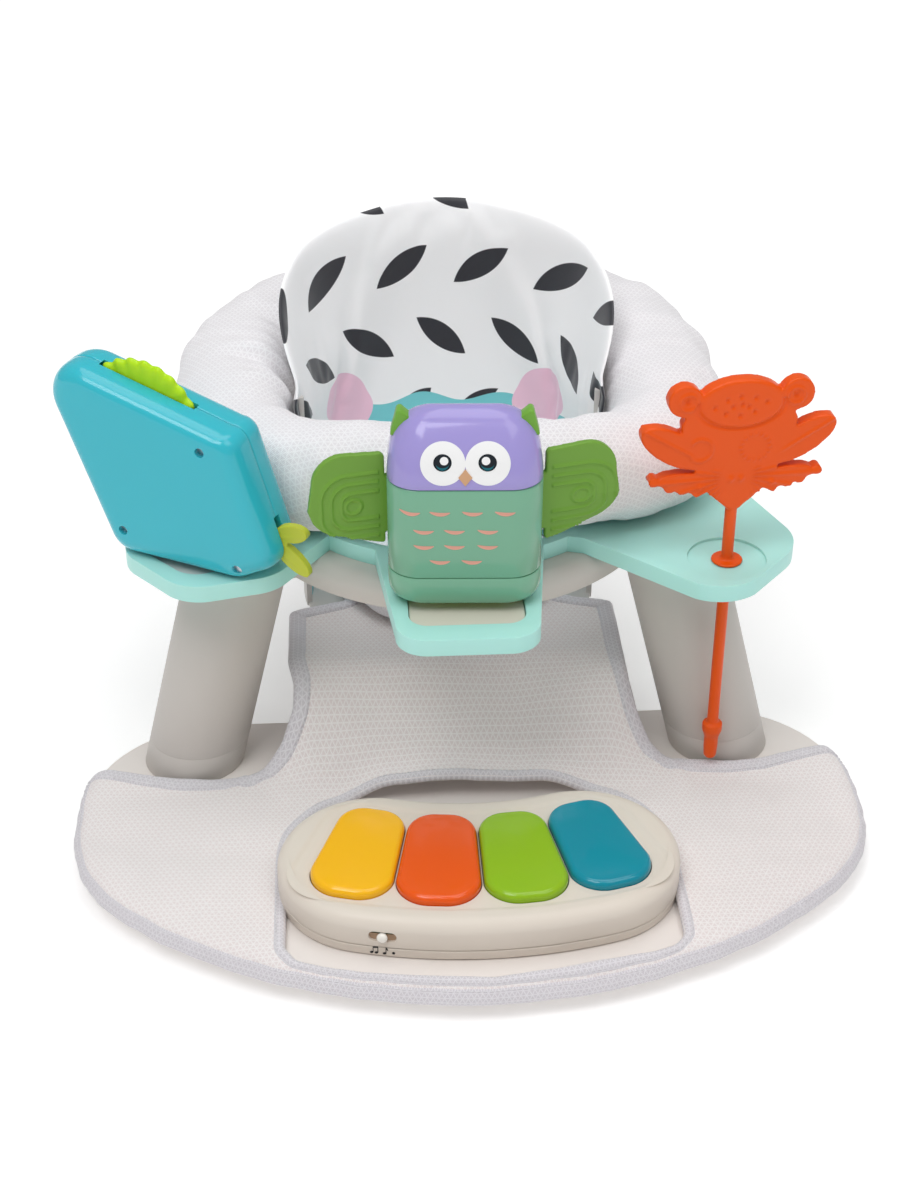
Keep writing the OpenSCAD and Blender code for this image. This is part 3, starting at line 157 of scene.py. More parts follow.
def resample(outline: Outline, count: int) -> Outline:
    """Space points evenly along a closed outline, starting at its first point."""
    closed = outline + outline[:1]
    runs = [math.dist(a, b) for a, b in zip(closed, closed[1:])]
    total = sum(runs)
    result: Outline = []
    index, walked = 0, 0.0
    for k in range(count):
        goal = total * k / count
        while index < len(runs) - 1 and walked + runs[index] < goal:
            walked += runs[index]
            index += 1
        t = (goal - walked) / max(runs[index], 1e-9)
        a, b = closed[index], closed[index + 1]
        result.append((a[0] + (b[0] - a[0]) * t, a[1] + (b[1] - a[1]) * t))
    return result


def inset(outline: Outline, distance: float) -> Outline:
    """Move a closed anticlockwise outline inwards by a distance along its own normals."""
    count = len(outline)
    result: Outline = []
    for i, here in enumerate(outline):
        back, ahead = outline[i - 1], outline[(i + 1) % count]
        dx, dy = ahead[0] - back[0], ahead[1] - back[1]
        size = math.hypot(dx, dy) or 1.0
        result.append((here[0] - dy / size * distance, here[1] + dx / size * distance))
    return result


def middle_of(outline: Outline) -> Point:
    """Mean of an outline's points."""
    return (sum(p[0] for p in outline) / len(outline), sum(p[1] for p in outline) / len(outline))


def rounded_box(w: float, d: float, r: float, steps: int = 10) -> Outline:
    """Anticlockwise outline of a rectangle about the origin with round corners."""
    x, y = w / 2 - r, d / 2 - r
    return (arc(x, y, r, 0, 90, steps) + arc(-x, y, r, 90, 180, steps)
            + arc(-x, -y, r, 180, 270, steps) + arc(x, -y, r, 270, 360, steps))


# Meshes ----------------------------------------------------------------------------------------


def add_piece(name: str, mesh: Mesh) -> Piece:
    """Put a mesh into the scene as an object at the origin."""
    piece = bpy.data.objects.new(name, mesh)
    bpy.context.scene.collection.objects.link(piece)
    return piece


def build_piece(name: str, points: Sequence[Vector], faces: Sequence[Sequence[int]],
                maps: Optional[Sequence[Sequence[Point]]] = None, sharp: Optional[float] = None) -> Piece:
    """Make an object from points and faces.

    Args:
        name: the object's name.
        points: corner points in metres.
        faces: corner numbers of each face.
        maps: UV of each face's corners, in metres along the cloth.
        sharp: angle in degrees above which an edge stays crisp.

    Returns:
        The new object, smooth shaded, with its normals outwards.
    """
    mesh = bpy.data.meshes.new(name)
    mesh.from_pydata([tuple(p) for p in points], [], [tuple(f) for f in faces])
    if maps is not None:
        layer = mesh.uv_layers.new(name="cloth")
        flat = [uv for face in maps for uv in face]
        layer.data.foreach_set("uv", [value for uv in flat for value in uv])
    finish_mesh(mesh, sharp)
    return add_piece(name, mesh)


def shade(mesh: Mesh, sharp: Optional[float] = None) -> None:
    """Shade a mesh smooth, crisp above an angle in degrees."""
    mesh.polygons.foreach_set("use_smooth", [True] * len(mesh.polygons))
    if sharp is not None:
        mesh.set_sharp_from_angle(angle=math.radians(sharp))


@contextmanager
def editing(mesh: Mesh) -> Iterator[bmesh.types.BMesh]:
    """Open a mesh for editing and write it back at the end."""
    work = bmesh.new()
    work.from_mesh(mesh)
    yield work
    work.to_mesh(mesh)
    work.free()


def finish_mesh(mesh: Mesh, sharp: Optional[float] = None) -> None:
    """Turn a mesh's normals outwards and shade it smooth, crisp above an angle in degrees."""
    with editing(mesh) as work:
        bmesh.ops.recalc_face_normals(work, faces=work.faces)
    shade(mesh, sharp)
    mesh.update()


def ring_faces(rings: int, sides: int, closed: bool) -> list[tuple[int, int, int, int]]:
    """Quads between rings of equal point counts, joined end to start where closed."""
    faces = []
    for i in range(rings if closed else rings - 1):
        a, b = i * sides, ((i + 1) % rings) * sides
        for j in range(sides):
            k = (j + 1) % sides
            faces.append((a + j, a + k, b + k, b + j))
    return faces


def fan_cap(outline: Sequence[Point], start: int, flip: bool) -> list[tuple[int, ...]]:
    """Triangles that close a ring of points, also where the ring is hollow on one side."""
    triangles = tessellate_polygon([[Vector((p[0], p[1], 0)) for p in outline]])
    return [tuple(start + i for i in (reversed(t) if flip else t)) for t in triangles]


def loft(name: str, rings: Sequence[Sequence[Vector]], flats: tuple[Outline, Outline],
         sharp: Optional[float] = 35.0) -> Piece:
    """Close a stack of rings with a cap at each end.

    Args:
        name: the object's name.
        rings: rings of equal point counts, in metres, from one end to the other.
        flats: outlines of the first and last ring in their own planes, for the caps.
        sharp: angle in degrees above which an edge stays crisp.

    Returns:
        The closed solid.
    """
    sides = len(rings[0])
    points = [p for ring in rings for p in ring]
    faces: list[tuple[int, ...]] = list(ring_faces(len(rings), sides, False))
    faces += fan_cap(flats[0], 0, False) + fan_cap(flats[1], (len(rings) - 1) * sides, True)
    return build_piece(name, points, faces, sharp=sharp)


def loft_levels(name: str, levels: Sequence[tuple[float, Outline]],
                place: Callable[[float, float, float], Vector], sharp: float = 35.0) -> Piece:
    """Close a stack of flat outlines into a solid.

    Args:
        name: the object's name.
        levels: level and outline of each ring, from one end to the other.
        place: turns a point of an outline and its level into metres.
        sharp: angle in degrees above which an edge stays crisp.

    Returns:
        The closed solid.
    """
    rings = [[place(x, y, level) for x, y in outline] for level, outline in levels]
    return loft(name, rings, (levels[0][1], levels[-1][1]), sharp)


def tube_grid(name: str, point: Callable[[int, int], Vector], uv: Callable[[int, int], Point],
              rings: int, sides: int, closed: bool = True) -> Piece:
    """A tube of quads with its own cloth map.

    Args:
        name: the object's name.
        point: place of ring i, side j, in metres.
        uv: place of ring i, side j on the flat cloth, in metres, also one step past the last.
        rings: number of rings.
        sides: number of points round each ring.
        closed: whether the last ring joins the first.

    Returns:
        The tube.
    """
    points = [point(i, j) for i in range(rings) for j in range(sides)]
    faces = ring_faces(rings, sides, closed)
    last = rings if closed else rings - 1
    maps = [[uv(i, j), uv(i, j + 1), uv(i + 1, j + 1), uv(i + 1, j)]
            for i in range(last) for j in range(sides)]
    return build_piece(name, points, faces, maps)


def put(thing: object, **values: object) -> None:
    """Set several properties of a thing by name."""
    for key, value in values.items():
        setattr(thing, key, value)


def modify(piece: Piece, name: str, kind: str, **settings: object) -> bpy.types.Modifier:
    """Add a modifier to a piece and set its properties."""
    modifier = piece.modifiers.new(name, kind)
    put(modifier, **settings)
    return modifier


def apply_modifiers(piece: Piece) -> Piece:
    """Bake a piece's modifiers into its mesh and take them off."""
    graph = bpy.context.evaluated_depsgraph_get()
    baked = piece.evaluated_get(graph)
    mesh = bpy.data.meshes.new_from_object(baked, preserve_all_data_layers=True, depsgraph=graph)
    piece.modifiers.clear()
    piece.data = mesh
    return piece


def node_copy(node: str, name: str, flat: float = 0.6) -> Piece:
    """Copy a CAD node's mesh, with its corners merged and its flat faces made whole.

    Args:
        node: the CAD node.
        name: the new object's name.
        flat: angle in degrees below which neighbouring faces count as one.

    Returns:
        The copy.
    """
    mesh = FRAME["nodes"][node].data.copy()
    mesh.name = name
    mesh.materials.clear()
    with editing(mesh) as work:
        bmesh.ops.remove_doubles(work, verts=work.verts, dist=2e-6)
        bmesh.ops.dissolve_limit(work, angle_limit=math.radians(flat), verts=work.verts, edges=work.edges,
                                 delimit={"NORMAL"})
    return add_piece(name, mesh)


def softened(node: str, name: str, width: float, segments: int = 3, angle: float = 32.0,
             sharp: float = 50.0) -> Piece:
    """A CAD node's copy with its crisp edges rounded as a mould leaves them.

    Args:
        node: the CAD node it replaces.
        name: the new object's name.
        width: width of the rounding in millimetres.
        segments: faces across the rounding.
        angle: edges sharper than this, in degrees, are rounded.
        sharp: edges still sharper than this stay crisp in shading.

    Returns:
        The rounded copy, which replaces the node.
    """
    piece = node_copy(node, name)
    modify(piece, "rounding", "BEVEL", width=width * MM, segments=segments, limit_method="ANGLE",
           angle_limit=math.radians(angle), harden_normals=False, use_clamp_overlap=True)
    apply_modifiers(piece)
    shade(piece.data, sharp)
    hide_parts(node)
    return piece


def skinned(piece: Piece, voxel: float, passes: int, factor: float = 0.5) -> Piece:
    """Wrap a closed piece in one even skin and relax it, as soft rubber or thick plastic.

    Args:
        piece: the closed piece.
        voxel: size of the skin's cells in millimetres.
        passes: how often the skin is relaxed.
        factor: strength of each pass.

    Returns:
        The same piece with its new mesh.
    """
    modify(piece, "skin", "REMESH", mode="VOXEL", voxel_size=voxel * MM)
    modify(piece, "relax", "SMOOTH", factor=factor, iterations=passes)
    apply_modifiers(piece)
    shade(piece.data)
    return piece


def emboss(piece: Piece, height: Callable[[Vector, Vector], float]) -> None:
    """Move each point of a mesh along its normal by a height in millimetres.

    Args:
        piece: the piece to press the relief into.
        height: relief at a point, from its place in metres and its normal.
    """
    mesh = piece.data
    moves = [v.co + v.normal * height(v.co, v.normal) * MM for v in mesh.vertices]
    mesh.vertices.foreach_set("co", [c for p in moves for c in p])
    mesh.update()


def carve(piece: Piece, cutters: Iterable[Piece]) -> Piece:
    """Cut closed shapes out of a closed piece and delete the cutters."""
    tools = list(cutters)
    for tool in tools:
        modify(piece, "cut", "BOOLEAN", operation="DIFFERENCE", solver="EXACT", object=tool)
    apply_modifiers(piece)
    for tool in tools:
        bpy.data.objects.remove(tool)
    return piece


def dress(piece: Piece, material: Material, body: str = "seat") -> Piece:
    """Give a finished piece its material and its body, and report it.

    Args:
        piece: the finished piece.
        material: its material.
        body: CAD body it moves with.

    Returns:
        The piece.
    """
    piece.data.materials.clear()
    piece.data.materials.append(material)
    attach(piece, body)
    LOG.info("%s: %d faces on %s", piece.name, len(piece.data.polygons), body)
    return piece


# Finishes --------------------------------------------------------------------------------------


def paint(red: float, green: float, blue: float) -> tuple[float, float, float, float]:
    """Turn a colour seen on a screen, 0 to 255, into the linear values that nodes take."""
    def linear(value: float) -> float:
        """One channel from screen to linear."""
        v = value / 255
        return v / 12.92 if v <= 0.04045 else ((v + 0.055) / 1.055) ** 2.4
    return (linear(red), linear(green), linear(blue), 1.0)


class NodeBench:
    """A node tree with short calls to add and join its nodes."""

    def __init__(self, tree: NodeTree) -> None:
        """Take an empty tree."""
        self.tree = tree
        self.count = 0

    def add(self, kind: str, **settings: object) -> Node:
        """Add a node of a kind and set its properties."""
        node = self.tree.nodes.new(kind)
        node.location = (180 * (self.count % 9), -220 * (self.count // 9))
        self.count += 1
        put(node, **settings)
        return node

    def feed(self, socket: Socket, value: object) -> None:
        """Join another socket to this one, or set its value."""
        if isinstance(value, Socket):
            self.tree.links.new(value, socket)
        else:
            socket.default_value = value

    def fill(self, node: Node, **values: object) -> Node:
        """Join or set a node's inputs by name, with an underscore for each space."""
        for key, value in values.items():
            self.feed(node.inputs[key.replace("_", " ")], value)
        return node

    def math(self, operation: str, a: object, b: object = None, clamped: bool = False) -> Socket:
        """Work out one value from one or two others."""
        node = self.add("ShaderNodeMath", operation=operation, use_clamp=clamped)
        self.feed(node.inputs[0], a)
        if b is not None:
            self.feed(node.inputs[1], b)
        return node.outputs[0]

    def plus(self, a: object, b: object) -> Socket:
        """Add two values."""
        return self.math("ADD", a, b)

    def minus(self, a: object, b: object) -> Socket:
        """Take the second value from the first."""
        return self.math("SUBTRACT", a, b)

    def times(self, a: object, b: object) -> Socket:
        """Multiply two values."""
        return self.math("MULTIPLY", a, b)

    def over(self, a: object, b: object) -> Socket:
        """Divide the first value by the second."""
        return self.math("DIVIDE", a, b)

    def vector(self, operation: str, a: object, b: object = None) -> Socket:
        """Work out one vector from one or two others."""
        node = self.add("ShaderNodeVectorMath", operation=operation)
        self.feed(node.inputs[0], a)
        if b is not None:
            self.feed(node.inputs[1], b)
        return node.outputs["Value"] if operation in {"LENGTH", "DOT_PRODUCT"} else node.outputs["Vector"]

    def split(self, vector: Socket) -> tuple[Socket, ...]:
        """Take a vector's three parts."""
        node = self.add("ShaderNodeSeparateXYZ")
        self.feed(node.inputs[0], vector)
        return tuple(node.outputs)

    def join(self, x: object, y: object, z: object = 0.0) -> Socket:
        """Make a vector of three parts."""
        node = self.add("ShaderNodeCombineXYZ")
        for socket, value in zip(node.inputs, (x, y, z)):
            self.feed(socket, value)
        return node.outputs[0]

    def mix(self, factor: object, a: object, b: object) -> Socket:
        """Blend two colours."""
        node = self.add("ShaderNodeMix", data_type="RGBA")
        self.feed(node.inputs["Factor"], factor)
        self.feed(node.inputs[6], a)
        self.feed(node.inputs[7], b)
        return node.outputs[2]

    def coat(self, shader: Node, surface: Node) -> None:
        """Join a moulded surface's colour, roughness and normal to a shader."""
        outs = surface.outputs
        self.fill(shader, Base_Color=outs["Colour"], Roughness=outs["Roughness"], Normal=outs["Normal"])

    def bump(self, strength: object, height: object, reach: float) -> Socket:
        """Turn a height into a bumpy normal, with its reach in millimetres."""
        node = self.add("ShaderNodeBump")
        return self.fill(node, Distance=reach * MM, Strength=strength, Height=height).outputs[0]

    def noise(self, vector: object, scale: object, detail: float = 3.0) -> Socket:
        """Noise of a scale per unit of the vector."""
        node = self.add("ShaderNodeTexNoise")
        return self.fill(node, Vector=vector, Scale=scale, Detail=detail).outputs[0]

    def ramp(self, value: object, low: float, high: float) -> Socket:
        """Rise from 0 at low to 1 at high, smoothly."""
        node = self.add("ShaderNodeMapRange", interpolation_type="SMOOTHSTEP", clamp=True)
        return self.fill(node, Value=value, From_Min=low, From_Max=high).outputs[0]


def new_group(name: str, inputs: Sequence[tuple[str, str, object]], outputs: Sequence[tuple[str, str]]
              ) -> tuple[NodeBench, Node, Node]:
    """Start a shader node group.

    Args:
        name: the group's name.
        inputs: name, kind and first value of each input.
        outputs: name and kind of each output.

    Returns:
        The bench with the group's input and output nodes.
    """
    tree = bpy.data.node_groups.new(name, "ShaderNodeTree")
    for label, kind, value in inputs:
        socket = tree.interface.new_socket(name=label, in_out="INPUT", socket_type=kind)
        if value is not None:
            socket.default_value = value
    for label, kind in outputs:
        tree.interface.new_socket(name=label, in_out="OUTPUT", socket_type=kind)
    bench = NodeBench(tree)
    return bench, bench.add("NodeGroupInput"), bench.add("NodeGroupOutput")


def moulding_group() -> NodeTree:
    """Fine grain, flow marks and slight colour drift of a moulded surface."""
    bench, given, out = new_group(
        "moulded_surface",
        [("Colour", "NodeSocketColor", (0.8, 0.8, 0.8, 1)), ("Drift", "NodeSocketFloat", 0.04),
         ("Grain", "NodeSocketFloat", 0.1), ("Grain Scale", "NodeSocketFloat", 900.0),
         ("Roughness", "NodeSocketFloat", 0.3), ("Scuff", "NodeSocketFloat", 0.05)],
        [("Colour", "NodeSocketColor"), ("Roughness", "NodeSocketFloat"), ("Normal", "NodeSocketVector")])
    place = bench.add("ShaderNodeTexCoord").outputs["Object"]
    broad = bench.noise(place, 14.0, 2.0)
    drift = bench.times(bench.minus(broad, 0.5), given.outputs["Drift"])
    tone = bench.plus(1.0, drift)
    tint = bench.vector("SCALE", given.outputs["Colour"])
    bench.feed(tint.node.inputs["Scale"], tone)
    bench.feed(out.inputs["Colour"], tint)
    fine = bench.noise(place, given.outputs["Grain Scale"], 2.0)
    scuff = bench.ramp(bench.noise(place, 70.0, 5.0), 0.45, 0.75)
    worn = bench.times(scuff, given.outputs["Scuff"])
    rough = bench.math("ADD", given.outputs["Roughness"], worn, clamped=True)
    bench.feed(out.inputs["Roughness"], rough)
    bench.feed(out.inputs["Normal"], bench.bump(given.outputs["Grain"], fine, 0.25))
    return bench.tree


def lattice_group() -> NodeTree:
    """A printed lattice of triangles: thin lines in three directions on the cloth map."""
    bench, given, out = new_group(
        "printed_lattice",
        [("Map", "NodeSocketVector", None), ("Cell", "NodeSocketFloat", 0.0056),
         ("Line", "NodeSocketFloat", 0.17)],
        [("Mask", "NodeSocketFloat")])
    lines = None
    for turn in (90, 30, 150):
        heading = (math.cos(math.radians(turn)), math.sin(math.radians(turn)), 0.0)
        across = bench.over(bench.vector("DOT_PRODUCT", given.outputs["Map"], heading), given.outputs["Cell"])
        near = bench.math("ABSOLUTE", bench.minus(bench.math("FRACT", across), 0.5))
        inside = bench.over(bench.minus(0.5, near), given.outputs["Line"])
        line = bench.math("SUBTRACT", 1.0, inside, clamped=True)
        lines = line if lines is None else bench.math("MAXIMUM", lines, line)
    bench.feed(out.inputs["Mask"], lines)
    return bench.tree


def weave_group() -> NodeTree:
    """A plain weave: threads over and under, with slubs, as a height and a painted shade that is darker where
    the threads dip under.
    """
    bench, given, out = new_group(
        "plain_weave",
        [("Map", "NodeSocketVector", None), ("Thread", "NodeSocketFloat", 0.0007),
         ("Strength", "NodeSocketFloat", 0.25)],
        [("Shade", "NodeSocketFloat"), ("Normal", "NodeSocketVector")])
    u, v, _ = bench.split(given.outputs["Map"])
    waves = []
    for part in (u, v):
        turns = bench.times(bench.over(part, given.outputs["Thread"]), math.pi)
        waves.append(bench.math("SINE", turns))
    over = bench.times(waves[0], waves[1])
    slub = bench.noise(given.outputs["Map"], 420.0, 2.0)
    crumple = bench.noise(given.outputs["Map"], 60.0, 4.0)
    height = bench.plus(bench.times(over, 0.5),
                        bench.plus(bench.times(slub, 0.9), bench.times(crumple, 2.2)))
    bench.feed(out.inputs["Normal"], bench.bump(given.outputs["Strength"], height, 0.6))
    # Painted shade: the threads are darkened by up to 6 percent where they dip under.
    bench.feed(out.inputs["Shade"], bench.plus(0.97, bench.times(over, 0.03)))
    return bench.tree


class Library:
    """The scene's node groups and materials, each made once."""

    def __init__(self) -> None:
        """Build the shared node groups."""
        self.groups = {"moulding": moulding_group(), "lattice": lattice_group(), "weave": weave_group()}
        self.made: dict[str, Material] = {}

    def start(self, name: str) -> tuple[NodeBench, Node]:
        """Start a material with its shader.

        Args:
            name: the material's name.

        Returns:
            Its bench and its Principled shader.
        """
        material = bpy.data.materials.new(name)
        material.use_nodes = True
        material.node_tree.nodes.clear()
        bench = NodeBench(material.node_tree)
        shader = bench.add("ShaderNodeBsdfPrincipled")
        bench.feed(bench.add("ShaderNodeOutputMaterial").inputs[0], shader.outputs[0])
        self.made[name] = material
        return bench, shader

    def place(self, bench: NodeBench, group: str, **values: object) -> Node:
        """Place a shared group in a material with its own values."""
        node = bench.add("ShaderNodeGroup")
        node.node_tree = self.groups[group]
        return bench.fill(node, **values)


SHEEN_VALUES = {  # roughness, weight of a clear coat, strength of the moulded grain
    Sheen.GLOSSY: (0.16, 0.35, 0.04),
    Sheen.SATIN: (0.36, 0.0, 0.10),
    Sheen.MATT: (0.48, 0.0, 0.16),
    Sheen.RUBBER: (0.40, 0.0, 0.10),
}


class Finish:
    """A look that is built once and then fetched by its name."""

    name: str

    def make(self, library: Library) -> Material:
        """Build the material, or fetch it if it is made already."""
        if self.name not in library.made:
            bench, shader = library.start(self.name)
            self.lay(library, bench, shader)
        return library.made[self.name]

    def lay(self, library: Library, bench: NodeBench, shader: Node) -> None:
        """Set up the look's nodes.

        Args:
            library: shared node groups.
            bench: where the nodes go.
            shader: the material's Principled shader.
        """
        raise NotImplementedError


@dataclass(frozen=True)
class Moulded(Finish):
    """A moulded plastic or rubber.

    Attributes:
        name: name of the material.
        colour: colour on a screen, 0 to 255.
        sheen: how it answers light.
        depth: share of light that enters and spreads inside, as in translucent plastic.
    """

    name: str
    colour: tuple[int, int, int]
    sheen: Sheen = Sheen.SATIN
    depth: float = 0.0

    def lay(self, library: Library, bench: NodeBench, shader: Node) -> None:
        """Set up the look's nodes."""
        rough, coat, grain = SHEEN_VALUES[self.sheen]
        surface = library.place(bench, "moulding", Colour=paint(*self.colour), Grain=grain, Roughness=rough)
        bench.coat(shader, surface)
        bench.fill(shader, Coat_Weight=coat, Coat_Roughness=0.06, Specular_IOR_Level=0.3)
        if self.depth:
            bench.fill(shader, Subsurface_Weight=self.depth, Subsurface_Radius=(1.0, 0.6, 0.4),
                       Subsurface_Scale=0.004)


@dataclass(frozen=True)
class Metal(Finish):
    """Turned or pressed metal.

    Attributes:
        name: name of the material.
        colour: colour on a screen, 0 to 255.
    """

    name: str
    colour: tuple[int, int, int]

    def lay(self, library: Library, bench: NodeBench, shader: Node) -> None:
        """Set up the look's nodes."""
        surface = library.place(bench, "moulding", Colour=paint(*self.colour), Grain=0.2, Grain_Scale=2400.0,
                                Roughness=0.28, Scuff=0.15)
        bench.coat(shader, surface)
        bench.fill(shader, Metallic=1.0)


@dataclass(frozen=True)
class PrintedCloth(Finish):
    """Woven cloth with a fine printed lattice.

    Attributes:
        name: name of the material.
        ground: colour of the cloth.
        line: colour of the printed lines.
        cell: spacing of the lines in millimetres.
        strength: how far its weave and crumples show.
    """

    name: str
    ground: tuple[int, int, int]
    line: tuple[int, int, int]
    cell: float = 5.6
    strength: float = 0.3

    def lay(self, library: Library, bench: NodeBench, shader: Node) -> None:
        """Set up the look's nodes."""
        chart = bench.add("ShaderNodeUVMap", uv_map="cloth").outputs[0]
        lattice = library.place(bench, "lattice", Map=chart, Cell=self.cell * MM)
        weave = library.place(bench, "weave", Map=chart, Strength=self.strength)
        tone = bench.mix(lattice.outputs["Mask"], paint(*self.ground), paint(*self.line))
        place = bench.add("ShaderNodeTexCoord").outputs["Object"]
        drift = bench.plus(0.975, bench.times(bench.noise(place, 9.0, 2.0), 0.05))
        cloth = bench.vector("SCALE", tone)
        # The cloth's colour is scaled by the weave's painted shade, darker where its threads dip under.
        bench.feed(cloth.node.inputs["Scale"], bench.times(drift, weave.outputs["Shade"]))
        rough = bench.plus(0.78, bench.times(bench.noise(chart, 300.0, 2.0), 0.14))
        bench.fill(shader, Base_Color=cloth, Normal=weave.outputs["Normal"], Roughness=rough,
                   Sheen_Weight=0.18, Sheen_Roughness=0.5, Specular_IOR_Level=0.25)


@dataclass(frozen=True)
class LeafPrint(Finish):
    """Smooth white satin of the back pad, with scattered leaves, round dots and a band at its foot.

    Attributes:
        name: name of the material.
        pitch: spacing of the leaves across and up, in millimetres.
        leaf: half length and half width of a leaf, in millimetres.
        band: height of the coloured band's wavy top, in millimetres from the pad's foot.
    """

    name: str = "back_pad_satin"
    pitch: tuple[float, float] = (58.0, 54.0)
    leaf: tuple[float, float] = (24.0, 8.5)
    band: float = 116.0

    def leaf_mask(self, bench: NodeBench, chart: Socket, shift: float, turn: float) -> Socket:
        """Mask of one set of leaves, each the overlap of two circles.

        Args:
            bench: where the nodes go.
            chart: the cloth map in metres.
            shift: how far this set is moved, as a share of the pitch.
            turn: slope of its leaves in degrees.

        Returns:
            The mask.
        """
        wide, high = (p * MM * (2 if k else 1) for k, p in enumerate(self.pitch))
        half, slim = (v * MM for v in self.leaf)
        radius = (half * half + slim * slim) / (2 * slim)
        u, v, _ = bench.split(chart)
        x = bench.times(bench.minus(bench.math(
            "FRACT", bench.plus(bench.over(u, wide), shift + 0.5)), 0.5), wide)
        y = bench.times(bench.minus(bench.math(
            "FRACT", bench.plus(bench.over(v, high), shift)), 0.5), high)
        cos, sin = math.cos(math.radians(turn)), math.sin(math.radians(turn))
        across = bench.plus(bench.times(x, cos), bench.times(y, sin))
        up = bench.minus(bench.times(y, cos), bench.times(x, sin))
        reach = bench.plus(bench.math("ABSOLUTE", up), radius - slim)
        spread = bench.vector("LENGTH", bench.join(across, reach))
        return bench.minus(1.0, bench.ramp(spread, radius - 0.0003, radius + 0.0003))

    def lay(self, library: Library, bench: NodeBench, shader: Node) -> None:
        """Set up the look's nodes."""
        chart = bench.add("ShaderNodeUVMap", uv_map="cloth").outputs[0]
        weave = library.place(bench, "weave", Map=chart, Thread=0.0004, Strength=0.08)
        leaves = bench.math("MAXIMUM", self.leaf_mask(bench, chart, 0.0, 36.0),
                            self.leaf_mask(bench, chart, 0.5, -36.0))
        colour = bench.mix(leaves, paint(254, 254, 255), paint(38, 38, 46))
        u, v, _ = bench.split(chart)
        swing = bench.times(bench.math("SINE", bench.times(u, 2 * math.pi / 0.072)), 0.0035)
        top = self.band * MM
        band = bench.minus(1.0, bench.ramp(bench.minus(v, swing), top - 0.0003, top + 0.0003))
        colour = bench.mix(band, colour, paint(120, 208, 214))
        for side in (-1, 1):
            away = bench.vector("LENGTH", bench.vector("SUBTRACT", chart, (side * 0.088, top + 0.004, 0)))
            dot = bench.minus(1.0, bench.ramp(away, 0.0259, 0.0265))
            colour = bench.mix(dot, colour, paint(250, 205, 226))
        rough = bench.plus(0.42, bench.times(bench.noise(chart, 200.0, 2.0), 0.15))
        bench.fill(shader, Base_Color=colour, Normal=weave.outputs["Normal"], Roughness=rough,
                   Sheen_Weight=0.4)


MINT = Moulded("tray_mint", (178, 232, 224), Sheen.SATIN, 0.1)
MINT_INSERT = Moulded("fish_insert_grey", (206, 212, 208), Sheen.SATIN)
CREAM_INSERT = Moulded("owl_insert_cream", (214, 210, 196), Sheen.SATIN)
FRAME_GREY = Moulded("frame_grey", (203, 197, 191), Sheen.MATT)
# The floor plate is the frame's grey painted lighter: painted light that makes up for the shade on it.
LIT_PLATE_GREY = Moulded("plate_grey_painted_light", (234, 227, 222), Sheen.MATT)
TUB_GREY = Moulded("tub_grey", (205, 202, 198), Sheen.MATT)
DARK_RUBBER = Moulded("foot_rubber", (84, 86, 88), Sheen.RUBBER)
CASE_CREAM = Moulded("piano_cream", (226, 216, 204), Sheen.SATIN)
KEY_COLOURS = {
    "yellow": (255, 190, 12),
    "orange": (240, 90, 6),
    "green": (146, 190, 22),
    "teal": (0, 142, 163),
}
KNOB_WHITE = Moulded("knob_white", (244, 240, 232), Sheen.GLOSSY)
BOARD_GREEN = Moulded("board_green", (30, 96, 60), Sheen.SATIN)
SWITCH_TAN = Moulded("switch_tan", (176, 146, 120), Sheen.MATT)
DARK_PLASTIC = Moulded("dark_plastic", (46, 48, 52), Sheen.MATT)
MEMBRANE = Moulded("membrane_rubber", (168, 168, 166), Sheen.RUBBER)
CELL_WRAP = Moulded("cell_wrap", (66, 70, 78), Sheen.GLOSSY)
STEEL = Metal("screw_steel", (196, 198, 202))
SPRING = Metal("contact_nickel", (206, 202, 190))
OWL_GREEN = Moulded("owl_green", (118, 174, 144), Sheen.GLOSSY, 0.1)
OWL_PURPLE = Moulded("owl_purple", (160, 149, 210), Sheen.GLOSSY, 0.1)
OWL_FOOT = Moulded("owl_foot_lime", (186, 208, 84), Sheen.SATIN)
EAR_GREEN = Moulded("ear_green", (112, 168, 60), Sheen.SATIN)
WING_GREEN = Moulded("wing_green", (112, 158, 58), Sheen.SATIN, 0.04)
BEAK_TAN = Moulded("beak_tan", (205, 160, 122), Sheen.SATIN)
FEATHER_PINK = Moulded("feather_salmon", (222, 158, 140), Sheen.SATIN)
EYE_WHITE = Moulded("eye_white", (240, 240, 240), Sheen.GLOSSY)
EYE_TEAL = Moulded("eye_teal", (20, 98, 110), Sheen.GLOSSY)
EYE_BLACK = Moulded("eye_black", (22, 30, 38), Sheen.GLOSSY)
FISH_TEAL = Moulded("fish_teal", (52, 184, 200), Sheen.GLOSSY, 0.15)
FISH_LIME = Moulded("wheel_lime", (182, 226, 28), Sheen.RUBBER, 0.2)
TAIL_OLIVE = Moulded("tail_lime", (190, 198, 62), Sheen.RUBBER, 0.15)
FROG_ORANGE = Moulded("frog_orange", (232, 84, 0), Sheen.SATIN, 0.06)
ICON_BLACK = Moulded("icon_black", (32, 32, 34), Sheen.SATIN)
RING_CLOTH = PrintedCloth("ring_cloth", (231, 228, 231), (247, 246, 248), 3.8, 0.35)
MAT_CLOTH = PrintedCloth("mat_cloth", (235, 225, 224), (250, 246, 245), 3.6, 0.35)
BINDING_CLOTH = PrintedCloth("binding_cloth", (214, 209, 214), (236, 233, 237), 3.2, 0.4)
THREAD = Moulded("stitch_thread", (226, 223, 226), Sheen.MATT)


# Cloth and repeats -----------------------------------------------------------------------------


